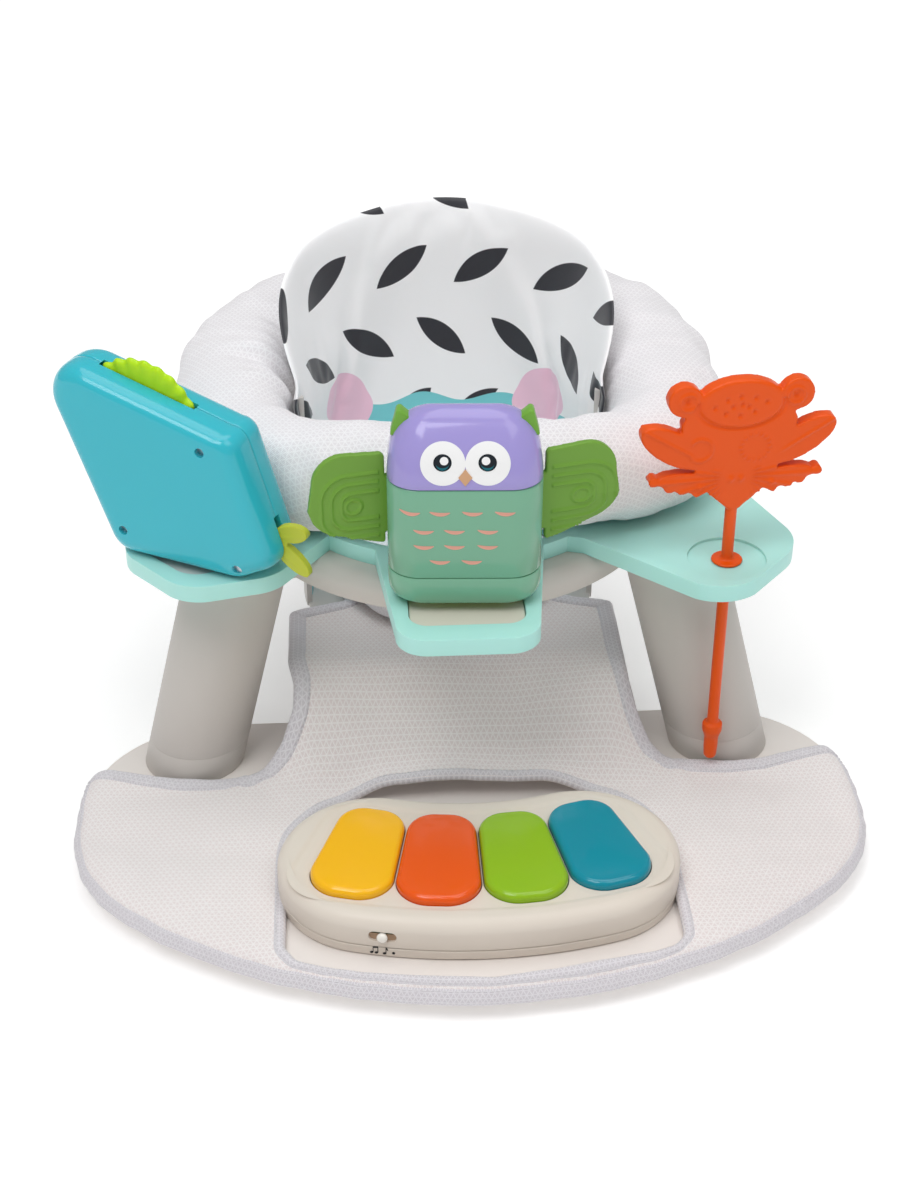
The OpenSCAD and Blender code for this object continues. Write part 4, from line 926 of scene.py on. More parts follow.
def inflate(piece: Piece, held: Callable[[Vector], float], cap: float, pressure: float = 4.0,
            slack: float = 0.0, frames: int = 20) -> None:
    """Swell a sewn cover with cloth simulation, as filling does, and keep the result.

    Args:
        piece: the closed cover, in its slightly smaller sewing shape.
        held: how firmly a point is held by a seam or by what it rests on, 0 to 1.
        cap: the furthest that a point may move, in millimetres.
        pressure: pressure of the filling.
        slack: share of extra cloth, which wrinkles.
        frames: steps of the simulation.
    """
    mesh = piece.data
    before = [v.co.copy() for v in mesh.vertices]
    group = piece.vertex_groups.new(name="held")
    for vertex in mesh.vertices:
        weight = held(vertex.co)
        if weight > 0.01:
            group.add([vertex.index], weight, "REPLACE")
    cloth = piece.modifiers.new("filling", "CLOTH")
    put(cloth.settings, quality=6, mass=0.25, tension_stiffness=20, compression_stiffness=12,
        shear_stiffness=6, bending_stiffness=0.6, air_damping=4, use_pressure=True,
        uniform_pressure_force=pressure, vertex_group_mass="held", pin_stiffness=3, shrink_min=-slack)
    cloth.settings.effector_weights.gravity = 0.0
    cloth.collision_settings.use_collision = False
    put(cloth.point_cache, frame_start=1, frame_end=frames)
    scene = bpy.context.scene
    for frame in range(1, frames + 1):
        scene.frame_set(frame)
    graph = bpy.context.evaluated_depsgraph_get()
    swollen = piece.evaluated_get(graph).data
    limit = cap * MM
    after = []
    for old, vertex in zip(before, swollen.vertices):
        move = vertex.co - old
        if move.length > limit:
            move *= limit / move.length
        after.append(old + move)
    piece.modifiers.clear()
    piece.vertex_groups.clear()
    scene.frame_set(1)
    mesh.vertices.foreach_set("co", [c for p in after for c in p])
    mesh.update()


def relaxed(piece: Piece, passes: int, factor: float = 0.5) -> None:
    """Smooth a piece's points towards their neighbours."""
    modify(piece, "relax", "SMOOTH", factor=factor, iterations=passes)
    apply_modifiers(piece)


def subdivided(piece: Piece, levels: int = 1) -> None:
    """Refine a piece into smooth smaller faces."""
    modify(piece, "finer", "SUBSURF", levels=levels, render_levels=levels)
    apply_modifiers(piece)
    shade(piece.data)


class RepeatTree:
    """A Geometry Nodes tree that sets one small shape along every edge path of a mesh."""

    def __init__(self, name: str) -> None:
        """Build the tree with its named inputs."""
        tree = bpy.data.node_groups.new(name, "GeometryNodeTree")
        face = tree.interface
        face.new_socket(name="Geometry", in_out="INPUT", socket_type="NodeSocketGeometry")
        for label, value in (("Pitch", 0.004), ("Length", 0.0026), ("Thickness", 0.0008)):
            socket = face.new_socket(name=label, in_out="INPUT", socket_type="NodeSocketFloat")
            socket.default_value = value
        face.new_socket(name="Material", in_out="INPUT", socket_type="NodeSocketMaterial")
        face.new_socket(name="Geometry", in_out="OUTPUT", socket_type="NodeSocketGeometry")
        bench = NodeBench(tree)
        given, out = bench.add("NodeGroupInput"), bench.add("NodeGroupOutput")
        path = bench.add("GeometryNodeMeshToCurve")
        bench.feed(path.inputs[0], given.outputs["Geometry"])
        points = bench.fill(bench.add("GeometryNodeCurveToPoints", mode="LENGTH"), Curve=path.outputs[0],
                            Length=given.outputs["Pitch"])
        bead = bench.fill(bench.add("GeometryNodeMeshUVSphere"), Segments=6, Rings=5, Radius=0.5)
        size = bench.join(given.outputs["Thickness"], given.outputs["Thickness"], given.outputs["Length"])
        beads = bench.fill(bench.add("GeometryNodeInstanceOnPoints"), Points=points.outputs["Points"],
                           Instance=bead.outputs[0], Rotation=points.outputs["Rotation"], Scale=size)
        real = bench.add("GeometryNodeRealizeInstances")
        bench.feed(real.inputs[0], beads.outputs[0])
        clothed = bench.fill(bench.add("GeometryNodeSetMaterial"), Geometry=real.outputs[0],
                             Material=given.outputs["Material"])
        bench.feed(out.inputs[0], clothed.outputs[0])
        self.tree = tree
        self.keys = {item.name: item.identifier for item in face.items_tree if item.in_out == "INPUT"}

    def run(self, name: str, paths: Sequence[Sequence[Vector]], material: Material, pitch: float,
            length: float, thickness: float) -> Piece:
        """Set beads along paths.

        Args:
            name: the object's name.
            paths: points of each open path, in metres.
            material: material of the beads.
            pitch: spacing in millimetres.
            length: length of a bead in millimetres.
            thickness: thickness of a bead in millimetres.

        Returns:
            A plain mesh object.
        """
        points, edges = [], []
        for path in paths:
            start = len(points)
            points += [tuple(p) for p in path]
            edges += [(start + i, start + i + 1) for i in range(len(path) - 1)]
        mesh = bpy.data.meshes.new(name)
        mesh.from_pydata(points, edges, [])
        piece = add_piece(name, mesh)
        repeat = piece.modifiers.new("repeat", "NODES")
        repeat.node_group = self.tree
        for label, value in (("Pitch", pitch * MM), ("Length", length * MM), ("Thickness", thickness * MM),
                             ("Material", material)):
            repeat[self.keys[label]] = value
        apply_modifiers(piece)
        shade(piece.data)
        return piece


# Padded cover ----------------------------------------------------------------------------------


@dataclass
class RingCover:
    """The padded ring round the seat, sewn from a top and a bottom panel.

    Attributes:
        half_x: half width of the ring's middle line.
        back: its reach to the back.
        front: its reach to the front.
        width: thickness of the roll, in to out.
        height: thickness of the roll, up and down.
        rise: how much thicker it is at the back.
        base: height of its underside.
        rings: steps round the ring.
        sides: steps round the roll.
    """

    half_x: float = 150.0
    back: float = 149.5
    front: float = 108.0
    width: float = 82.0
    height: float = 72.0
    rise: float = 10.0
    base: float = 201.6
    rings: int = 220
    sides: int = 64

    def path(self, a: float) -> float:
        """Distance of the roll's middle from the well's axis at an angle."""
        front = math.sin(a) < 0
        k, reach = (3.8, self.front) if front else (2.4, self.back)
        return ((abs(math.cos(a)) / self.half_x) ** k + (abs(math.sin(a)) / reach) ** k) ** (-1 / k)

    def section(self, a: float, t: float) -> Point:
        """Outward distance and height of the roll's skin at angles round the ring and the roll."""
        crown = self.height + self.rise * (1 + math.sin(a)) / 2
        half = self.width / 2 * (1 - 0.1 * ease(-math.sin(a), 0, 0.7))
        out = power(math.cos(t), 0.9) * half * (1 - 0.12 * ease(-math.sin(t), 0.5, 1))
        up = (power(math.sin(t), 0.8) + 1) * crown / 2
        return out, up

    def crumple(self, a: float, t: float) -> float:
        """Depth of seams, pleats and wrinkles in millimetres, outwards."""
        out, up = self.section(a, t)
        side = math.cos(t)
        seam = -2.0 * math.exp(-((up - 15) / 2.6) ** 2) * ease(side, 0.1, 0.5)
        gather = 0.9 * wander(a * 30, up * 0.02, 0, 1) * math.exp(-((up - 20) / 10) ** 2)
        gather *= ease(side, 0.1, 0.5)
        near_pad = math.exp(-((abs(math.degrees(a) - 90) - 78) / 30) ** 2)
        inner = ease(-side, -0.35, 0.5)
        pleats = 7.0 * near_pad * inner * wander(a * 9, t * 0.55, 3.0, 2)
        folds = 2.1 * wander(a * 5.5, t * 1.1, 0, 3) + 1.2 * wander(a * 15, t * 1.6, 0, 4)
        return seam + gather + pleats + folds * (0.4 + 0.6 * ease(math.sin(t), -0.8, 0.2))

    def build(self, library: Library) -> None:
        """Sew, fill and dress the ring."""
        arcs: list[list[float]] = []
        for i in range(self.rings):
            a = self.turn(i)
            run, lengths = 0.0, [0.0]
            last = self.section(a, self.tilt(0))
            for j in range(1, self.sides + 1):
                here = self.section(a, self.tilt(j))
                run += math.dist(last, here)
                lengths.append(run)
                last = here
            arcs.append(lengths)
        top = round(self.sides * 0.5)

        def point(i: int, j: int) -> Vector:
            """Place of a grid point."""
            a, t = self.turn(i), self.tilt(j)
            out, up = self.section(a, t)
            bump = self.crumple(a, t)
            out += math.cos(t) * bump
            up = max(0.0, up + math.sin(t) * bump)
            r = self.path(a) + out
            return seat(r * math.cos(a), WELL_Y + r * math.sin(a), self.base + up)

        def chart(i: int, j: int) -> Point:
            """Place of a grid point on the flat cloth."""
            a = self.turn(i)
            lengths = arcs[i % self.rings]
            r = self.path(a) + lengths[top] - lengths[j]
            return r * math.cos(a) * MM, r * math.sin(a) * MM

        cover = tube_grid("ring_cover", point, chart, self.rings, self.sides)
        low = (self.base + 3) * MM
        inflate(cover, lambda p: 1.0 if p.z < low else 0.0, 4.0, 3.0, 0.03)
        relaxed(cover, 1)
        subdivided(cover)
        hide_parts("ring_bolster")
        dress(cover, RING_CLOTH.make(library))

    def turn(self, i: int) -> float:
        """Angle of a step round the ring, from the back."""
        return math.radians(90 + 360 * i / self.rings)

    def tilt(self, j: int) -> float:
        """Angle of a step round the roll, from its underside outwards and up."""
        return math.radians(-90 + 360 * j / self.sides)


@dataclass
class BackPad:
    """The smooth pad that lines the tub and stands up behind the child.

    Attributes:
        radius: outer radius of the pad inside the tub.
        flare: how far its outer sheet opens above the ring at the back; its sides open 13 mm more.
        top: height of its highest point.
        base: height of its foot.
        lining: distance of its face from the well's axis at the foot.
        lean: how far the face leans back for each millimetre up.
        edge: thickness near its sides and top.
        half_turn: how far it reaches round each side, in degrees.
        columns: points round the pad.
        rows: points up each sheet.
    """

    radius: float = 103.7
    flare: float = 2.0
    top: float = 350.0
    base: float = 87.3
    lining: float = 61.0
    lean: float = 0.18
    edge: float = 7.0
    half_turn: float = 106.0
    columns: int = 128
    rows: int = 48

    def height(self, s: float) -> float:
        """Height of the pad at s, -1 to 1 round it."""
        return self.top - self.base - 62 * abs(s) ** 2.2 - 34 * abs(s) ** 8

    def build(self, library: Library) -> None:
        """Sew, fill and dress the pad."""
        sides = 2 * self.rows

        def spot(i: int, j: int) -> tuple[float, float, bool]:
            """Round, up and inner or outer sheet of a grid point."""
            s = 2 * i / (self.columns - 1) - 1
            s = math.copysign(1 - (1 - abs(s)) ** 1.25, s)
            j %= sides
            inner = j < self.rows
            h = j / (self.rows - 1) if inner else 1 - (j - self.rows) / (self.rows - 1)
            if 0 < h < 1:
                swing = math.cos(math.pi * h)
                h = 0.5 - 0.5 * swing * (0.35 + 0.65 * abs(swing))
            return s, clamp(h), inner

        def point(i: int, j: int) -> Vector:
            """Place of a grid point."""
            s, h, inner = spot(i, j)
            z = self.base + self.height(s) * h
            swell = math.sqrt(max(0.0, (1 - abs(s) ** 6) * (1 - abs(2 * h - 1) ** 5)))
            pucker = 0.35 * wander(s * 26, h * 12, 0, 5) * (1 - swell)
            a = math.radians(90 - s * (self.half_turn - 8.0 * (1 - ease(z, 200, 214))))
            side = ease(abs(s) * self.half_turn, 22, 62)
            outer = self.radius + (self.flare + 13.0 * side) * ease(z, 232, 320)
            outer += 7.0 * ease(abs(s), 0.94, 0.965) * (1 - ease(z, 250, 268)) * ease(z, 200, 214)
            turn = 0.8 * min(abs(a - math.pi / 2), 1.7)
            face = (self.lining + self.lean * (z - self.base)) / math.cos(turn)
            spare = outer - face - self.edge
            thick = self.edge + (spare + math.hypot(spare, 5.0)) / 2
            r = outer - (1.2 + thick * swell + pucker if inner else 0.0)
            return seat(r * math.cos(a), WELL_Y + r * math.sin(a), z)

        def chart(i: int, j: int) -> Point:
            """Place of a grid point on the flat cloth."""
            s, h, _ = spot(min(i, self.columns - 1), j)
            return (-s * math.radians(self.half_turn) * (self.radius - 10) * MM, self.height(s) * h * MM)

        pad = tube_grid("back_pad", point, chart, self.columns, sides, closed=False)
        close_ends(pad, self.columns, sides)
        middle = Vector(seat(0, WELL_Y, 0))
        foot = (self.base + 4) * MM

        def held(p: Vector) -> float:
            """The outer sheet rests on the tub, and the seams hold their shape."""
            return 1.0 if math.dist(p.xy, middle.xy) > (self.radius - 3) * MM or p.z < foot else 0.0

        inflate(pad, held, 3.0, 3.0, 0.01)
        relaxed(pad, 2)
        subdivided(pad)
        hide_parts("backrest_pad")
        dress(pad, LeafPrint().make(library))


def close_ends(piece: Piece, rings: int, sides: int) -> None:
    """Zip the two sheets of a flat tube together at its two ends."""
    with editing(piece.data) as work:
        work.verts.ensure_lookup_table()
        layer = work.loops.layers.uv.active
        charts = {loop.vert.index: loop[layer].uv.copy() for face in work.faces for loop in face.loops}
        for start in (0, (rings - 1) * sides):
            for j in range(sides // 2 - 1):
                corners = [start + j, start + j + 1, start + sides - 2 - j, start + sides - 1 - j]
                if len(set(corners)) == 4:
                    face = work.faces.new([work.verts[c] for c in corners])
                    for loop in face.loops:
                        loop[layer].uv = charts[loop.vert.index]
        bmesh.ops.recalc_face_normals(work, faces=work.faces)
    shade(piece.data)


@dataclass
class SeatCushion:
    """The round cushion on the tub's floor: crowned, with a seam round its waist.

    Attributes:
        radius: its radius at the seam.
        height: its height at the middle.
        base: height of its underside.
        rings: points round it.
        steps: points from its middle below to its middle above.
    """

    radius: float = WELL_R
    height: float = 20.0
    base: float = 93.6
    rings: int = 96
    steps: int = 24

    def build(self, library: Library) -> None:
        """Sew, fill and dress the cushion."""
        profile = [(0.0, 0.0), (0.5, 0.0), (0.9, 0.02), (0.985, 0.2), (1.0, 0.42), (0.975, 0.5), (0.99, 0.6),
                   (0.9, 0.84), (0.65, 0.96), (0.3, 1.0), (0.0, 1.0)]
        line = resample_open(profile, self.steps)
        points = [seat(0, WELL_Y, self.base)]
        chart: list[Point] = [(0.0, 0.0)]
        for j, (out, up) in enumerate(line[1:-1]):
            for i in range(self.rings):
                a = 2 * math.pi * i / self.rings
                gather = 0.7 * wander(a * 10, up * 3, 0, 6) * math.exp(-((up - 0.5) / 0.15) ** 2)
                r = out * self.radius * 0.988 + gather
                lift = 0.6 * wander(math.cos(a) * 2 * out, math.sin(a) * 2 * out, 0, 7) if up > 0.6 else 0.0
                z = self.base + up * self.height + lift
                points.append(seat(r * math.cos(a), WELL_Y + r * math.sin(a), z))
                flat = r if up > 0.5 else 2.1 * self.radius - r
                chart.append((flat * math.cos(a) * MM, flat * math.sin(a) * MM))
        points.append(seat(0, WELL_Y, self.base + self.height))
        chart.append((0.0, 0.0))
        last = len(points) - 1
        faces: list[tuple[int, ...]] = []
        levels = len(line) - 2
        for i in range(self.rings):
            k = (i + 1) % self.rings
            faces.append((0, 1 + k, 1 + i))
            faces.append((last, last - self.rings + i, last - self.rings + k))
            for j in range(levels - 1):
                a, b = 1 + j * self.rings, 1 + (j + 1) * self.rings
                faces.append((a + i, a + k, b + k, b + i))
        cushion = build_piece("seat_cushion_cover", points, faces, [[chart[v] for v in f] for f in faces])
        low = (self.base + 1.5) * MM
        inflate(cushion, lambda p: 1.0 if p.z < low else 0.0, 2.0, 2.0, 0.02)
        subdivided(cushion)
        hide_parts("seat_cushion")
        dress(cushion, RING_CLOTH.make(library))


def resample_open(line: Outline, count: int) -> Outline:
    """Space points evenly along an open line, both ends kept."""
    runs = [math.dist(a, b) for a, b in zip(line, line[1:])]
    total = sum(runs)
    result = [line[0]]
    for k in range(1, count - 1):
        goal, i = total * k / (count - 1), 0
        while goal > runs[i]:
            goal -= runs[i]
            i += 1
        t = goal / runs[i]
        result.append(tuple(a + (b - a) * t for a, b in zip(line[i], line[i + 1])))
    return result + [line[-1]]


@dataclass
class Apron:
    """Seat liner, front panel and foot mat in one piece, bound round its edges.

    Attributes:
        top: height of the cloth's upper face where it lies on the plate.
        thick: thickness of the padded cloth.
        pan: height of its upper face inside the tub.
        wrap: radius of its turn over the plate's rim.
        lap: how far inside the rim the turn begins.
        side: half width of the panel between the legs.
        spacing: distance between the cloth's points.
        binding: width of the bound edge.
    """

    top: float = 28.4
    thick: float = 4.6
    pan: float = 92.6
    wrap: float = 13.0
    lap: float = 7.6
    side: float = 118.0
    spacing: float = 4.4
    binding: float = 12.0

    def panel_width(self, y: float) -> float:
        """Half width of the liner and the panel at a distance behind the ring's axis."""
        chord = math.sqrt(max(0.0, WELL_R ** 2 - (y - WELL_Y) ** 2))
        return chord + (self.side - chord) * ease(-y, 4, 20) + 26 * ease(-y, 60, 154) ** 2

    def half_edge(self) -> Outline:
        """Right half of the flat cloth's edge, from the back's middle to the front's middle."""
        grow = self.wrap * math.radians(96) - self.lap
        back = [(self.panel_width(y), float(y)) for y in range(92, -98, -4)]
        leg = [(121, -98), (126, -110), (135, -121), (148, -128), (165, -132), (188, -133.5),
               (211, -131), (232, -125), (250, -119), (266, -115), (278, -115), (286, -119)]
        rear = arc(PLATE_X + CORNER_X, CORNER_Y, CORNER_R + grow, 14, 0, 4)
        mid = (BEND_X, -math.sqrt((BASE_R - BEND_R) ** 2 - BEND_X ** 2))
        turn = math.degrees(math.atan2(mid[1], mid[0]))
        side = arc(PLATE_X + mid[0], mid[1], BEND_R + grow, -2, turn, 14)
        front = arc(PLATE_X, 0, BASE_R + grow, turn - 1, -90, 40)
        return [(0.0, 92.9)] + back + [(float(x), float(y)) for x, y in leg] + rear + side + front

    def edge(self) -> Outline:
        """The whole flat edge, anticlockwise."""
        right = self.half_edge()
        left = [(2 * PLATE_X * ease(-y, 80, 110) - x, y) for x, y in right[1:-1]]
        loop = right + list(reversed(left))
        return list(reversed(loop))

    def opening(self) -> Outline:
        """Edge of the opening for the piano, anticlockwise."""
        half, reach, r = 127.0, 68.5, 65.0
        inner = BASE_R - 6.0
        drop = -math.sqrt(inner ** 2 - (half - 8) ** 2)
        swing = math.degrees(math.atan2(drop, half - 8))
        front = [(PLATE_X + x, y) for x, y in arc(0, 0, inner, -180 - swing, swing, 40)]
        return (front + [(PLATE_X + half, drop + 10)] + arc(PLATE_X + reach - 6.5, -222, r, 0, 90, 12)
                + arc(PLATE_X - reach + 6.5, -222, r, 90, 180, 12) + [(PLATE_X - half, drop + 10)])

    def beyond(self, x: float, y: float) -> tuple[float, Point]:
        """Signed distance outside the plate's outline and the direction outwards."""
        lx, side = abs(x - PLATE_X), math.copysign(1, x - PLATE_X)
        mid_x, mid_y = BEND_X, -176.6
        if y > CORNER_Y:
            cx, cy, r = CORNER_X, CORNER_Y, CORNER_R
            if lx < cx:
                return -50.0, (0.0, 0.0)
        elif y > mid_y:
            return lx - (CORNER_X + CORNER_R), (side, 0.0)
        elif math.atan2(y - mid_y, lx - mid_x) > math.atan2(mid_y, mid_x) and lx > mid_x:
            cx, cy, r = mid_x, mid_y, BEND_R
        else:
            cx, cy, r = 0.0, 0.0, BASE_R
        dx, dy = lx - cx, y - cy
        far = math.hypot(dx, dy) or 1.0
        return far - r, (side * dx / far, dy / far)

    def relief(self, x: float, y: float) -> float:
        """Folds, drag lines and crumples of the cloth in millimetres."""
        lx, side = abs(x), math.copysign(1.0, x)
        panel = ease(-y, 60, 95) * (1 - ease(lx, 100, 150))
        creases = 3.2 * wander(x * 0.012 + y * 0.006, y * 0.035, 0, 1)
        creases += 0.9 * wander(x * 0.03, y * 0.06, 0, 2)
        reach = math.hypot(lx - 150, (y + 128))
        ray = math.degrees(math.atan2(-(y + 128), 150 - lx))
        drag = 2.4 * math.exp(-reach / 55) * max(0.0, math.cos(math.radians((ray - 38 + 6 * side) * 5.2)))
        drag *= ease(-y, 100, 128)
        mat = 0.9 * wander(x * 0.016, y * 0.02, 0, 8) + 0.45 * wander(x * 0.05, y * 0.05, 0, 9)
        return creases * (0.35 + 0.65 * panel) + drag + mat * ease(-y, 110, 150)

    def surface(self, x: float, y: float) -> Vector:
        """Place of a point of the flat cloth on the finished seat.

        Args:
            x: across the flat cloth, in millimetres.
            y: along the flat cloth, in millimetres.

        Returns:
            The point on the cloth's upper face.
        """
        fall = ease(y, -162, -80) * (1 - ease(abs(x) + 0.3 * (-80 - y), 116, 168))
        over, out = self.beyond(x, y)
        arch = math.exp(-((y + 157) / 14) ** 2) * (1 - ease(abs(x - PLATE_X), 50, 92)) * ease(y, -175, -158)
        z = self.top + (self.pan - self.top) * fall + self.relief(x, y) * ease(-over, -6, 12) + 12.0 * arch
        edge_drop = over + self.lap
        if edge_drop > 0:
            turn = edge_drop / self.wrap
            x += out[0] * (self.wrap * math.sin(turn) - edge_drop)
            y += out[1] * (self.wrap * math.sin(turn) - edge_drop)
            ripple = 0.7 * wander(x * 0.06, y * 0.06, 0, 12)
            x += out[0] * ripple
            y += out[1] * ripple
            z -= self.wrap * (1 - math.cos(turn))
        return seat(x, y, z)

    def normal(self, x: float, y: float) -> Vector:
        """Direction out of the cloth's upper face."""
        dx = self.surface(x + 0.6, y) - self.surface(x - 0.6, y)
        dy = self.surface(x, y + 0.6) - self.surface(x, y - 0.6)
        return dx.cross(dy).normalized()

    def cloth(self, material: Material) -> Piece:
        """Cut the sheet to its flat shape, lay it on the seat and give it its thickness."""
        outside, within = 640, 260
        outer = resample(inset(resample(self.edge(), 900), 1.5), outside)
        hole = resample(self.opening(), within)
        points = [Vector(p) for p in outer + hole]
        edges = [(i, (i + 1) % outside) for i in range(outside)]
        edges += [(outside + i, outside + (i + 1) % within) for i in range(within)]
        tree = BVHTree.FromPolygons([(p[0], p[1], z) for p in outer + hole for z in (-1.0, 1.0)],
                                    [(2 * a, 2 * b, 2 * b + 1, 2 * a + 1) for a, b in edges])
        step, row = self.spacing, 0
        y = -370.0
        while y < 95:
            x = -290.0 + (step / 2 if row % 2 else 0)
            while x < 292:
                crowded = tree.find_nearest(Vector((x, y, 0)), step * 0.6)[0] is not None
                if self.inside(x, y, outer, hole) and not crowded:
                    points.append(Vector((x, y)))
                x += step
            y += step * 0.866
            row += 1
        verts, _, faces = delaunay_2d_cdt(points, edges, [], 0, 1e-5)[:3]
        kept = []
        for face in faces:
            cx = sum(verts[v].x for v in face) / 3
            cy = sum(verts[v].y for v in face) / 3
            if self.inside(cx, cy, outer, hole):
                kept.append(tuple(face))
        used = sorted({v for face in kept for v in face})
        index = {v: i for i, v in enumerate(used)}
        faces = [tuple(index[v] for v in face) for face in kept]
        flat = [verts[v] for v in used]
        maps = [[(flat[v].x * MM, flat[v].y * MM) for v in face] for face in faces]
        sheet = build_piece("apron_cloth", [self.surface(p.x, p.y) for p in flat], faces, maps)
        face_up(sheet)
        modify(sheet, "thickness", "SOLIDIFY", thickness=self.thick * MM, offset=-1.0)
        apply_modifiers(sheet)
        shade(sheet.data)
        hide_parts("seat_panel", "foot_mat")
        return dress(sheet, material)

    @staticmethod
    def inside(x: float, y: float, outer: Outline, hole: Outline) -> bool:
        """Whether a flat point lies on the cloth."""
        def crossed(loop: Outline) -> bool:
            """Count the loop's edges to the right of the point."""
            odd = False
            for (ax, ay), (bx, by) in zip(loop, loop[1:] + loop[:1]):
                if (ay > y) != (by > y) and x < ax + (y - ay) / (by - ay) * (bx - ax):
                    odd = not odd
            return odd
        return crossed(outer) and not crossed(hole)

    def bind(self, name: str, loop: Outline, material: Material, width: float) -> list[Vector]:
        """Fold a bias binding over an edge.

        Args:
            name: the object's name.
            loop: the flat edge, with the cloth on its left.
            material: the binding's cloth.
            width: width of the binding.

        Returns:
            The stitch line along its inner edge.
        """
        count = len(loop)
        section = [(width, 0.2), (width - 0.9, 1.0), (width * 0.55, 1.5), (width * 0.2, 1.3), (0.3, 0.3),
                   (-0.9, -1.6), (-0.6, -3.6), (0.6, -5.2), (width * 0.5, -5.6), (width - 1.0, -5.4),
                   (width, -4.6)]
        levels = [inset(loop, d) for d in sorted({s[0] for s in section})]
        depth = {d: levels[k] for k, d in enumerate(sorted({s[0] for s in section}))}
        ups = [self.normal(*p) for p in inset(loop, width * 0.4)]

        def point(i: int, j: int) -> Vector:
            """Place of a grid point."""
            d, h = section[j % len(section)]
            x, y = depth[d][i % count]
            pucker = 0.45 * wander(i * 0.45, 0, 0, 21) if 0 < d < width else 0.0
            return self.surface(x, y) + ups[i % count] * (h + pucker) * MM

        run = [0.0]
        for a, b in zip(loop, loop[1:] + loop[:1]):
            run.append(run[-1] + math.dist(a, b))

        def chart(i: int, j: int) -> Point:
            """Place of a grid point on the flat cloth."""
            return run[i] * MM, section[j % len(section)][0] * MM

        tape = tube_grid(name, point, chart, count, len(section))
        subdivided(tape)
        dress(tape, material)
        line = inset(loop, width - 1.8)
        return [self.surface(x, y) + self.normal(x, y) * 1.35 * MM for x, y in line + line[:1]]

    def build(self, library: Library, beads: RepeatTree) -> None:
        """Sew and dress the apron with its bindings and stitches."""
        self.cloth(MAT_CLOTH.make(library))
        outer = resample(self.edge(), 620)
        hole = list(reversed(resample(self.opening(), 230)))
        tape = BINDING_CLOTH.make(library)
        paths = [self.bind("apron_binding", outer, tape, self.binding),
                 self.bind("opening_binding", hole, tape, 7.0)]
        stitches = beads.run("apron_stitches", paths, THREAD.make(library), 4.2, 2.8, 0.7)
        dress(stitches, THREAD.make(library))


def face_up(piece: Piece) -> None:
    """Turn an open sheet's faces so that its normals point up."""
    with editing(piece.data) as work:
        if sum(face.normal.z * face.calc_area() for face in work.faces) < 0:
            bmesh.ops.reverse_faces(work, faces=work.faces)


# Base, frame and tray --------------------------------------------------------------------------


@dataclass
class Frame:
    """Floor plate, collars, legs, tub and ring: moulded parts with rounded edges."""

    def build(self, library: Library) -> None:
        """Round and dress the frame's parts."""
        grey, tub = FRAME_GREY.make(library), TUB_GREY.make(library)
        # The floor plate's finish is a lighter copy of the frame's grey, with painted light in its colour.
        dress(softened("base_plate", "floor_plate", 2.0, 3), LIT_PLATE_GREY.make(library))
        for side in ("left", "right"):
            dress(softened(f"leg_foot_{side}", f"foot_collar_{side}", 1.6, 3), grey)
            dress(softened(f"leg_{side}", f"front_leg_{side}", 1.6, 3), grey)
        dress(softened("seat_tub", "tub_shell", 1.2, 2), tub)
        dress(softened("seat_ring", "ring_frame", 1.5, 3), grey)


@dataclass
class Tray:
    """The toy tray with its three lobes and two inserts."""

    def build(self, library: Library) -> None:
        """Round and dress the tray."""
        dress(softened("toy_tray", "tray_body", 3.2, 5, 40), MINT.make(library))
        dress(softened("fish_insert", "fish_lobe_insert", 1.2, 3), MINT_INSERT.make(library))
        dress(softened("owl_insert", "owl_lobe_insert", 1.2, 3), CREAM_INSERT.make(library))


# Artwork pressed onto a surface ----------------------------------------------------------------


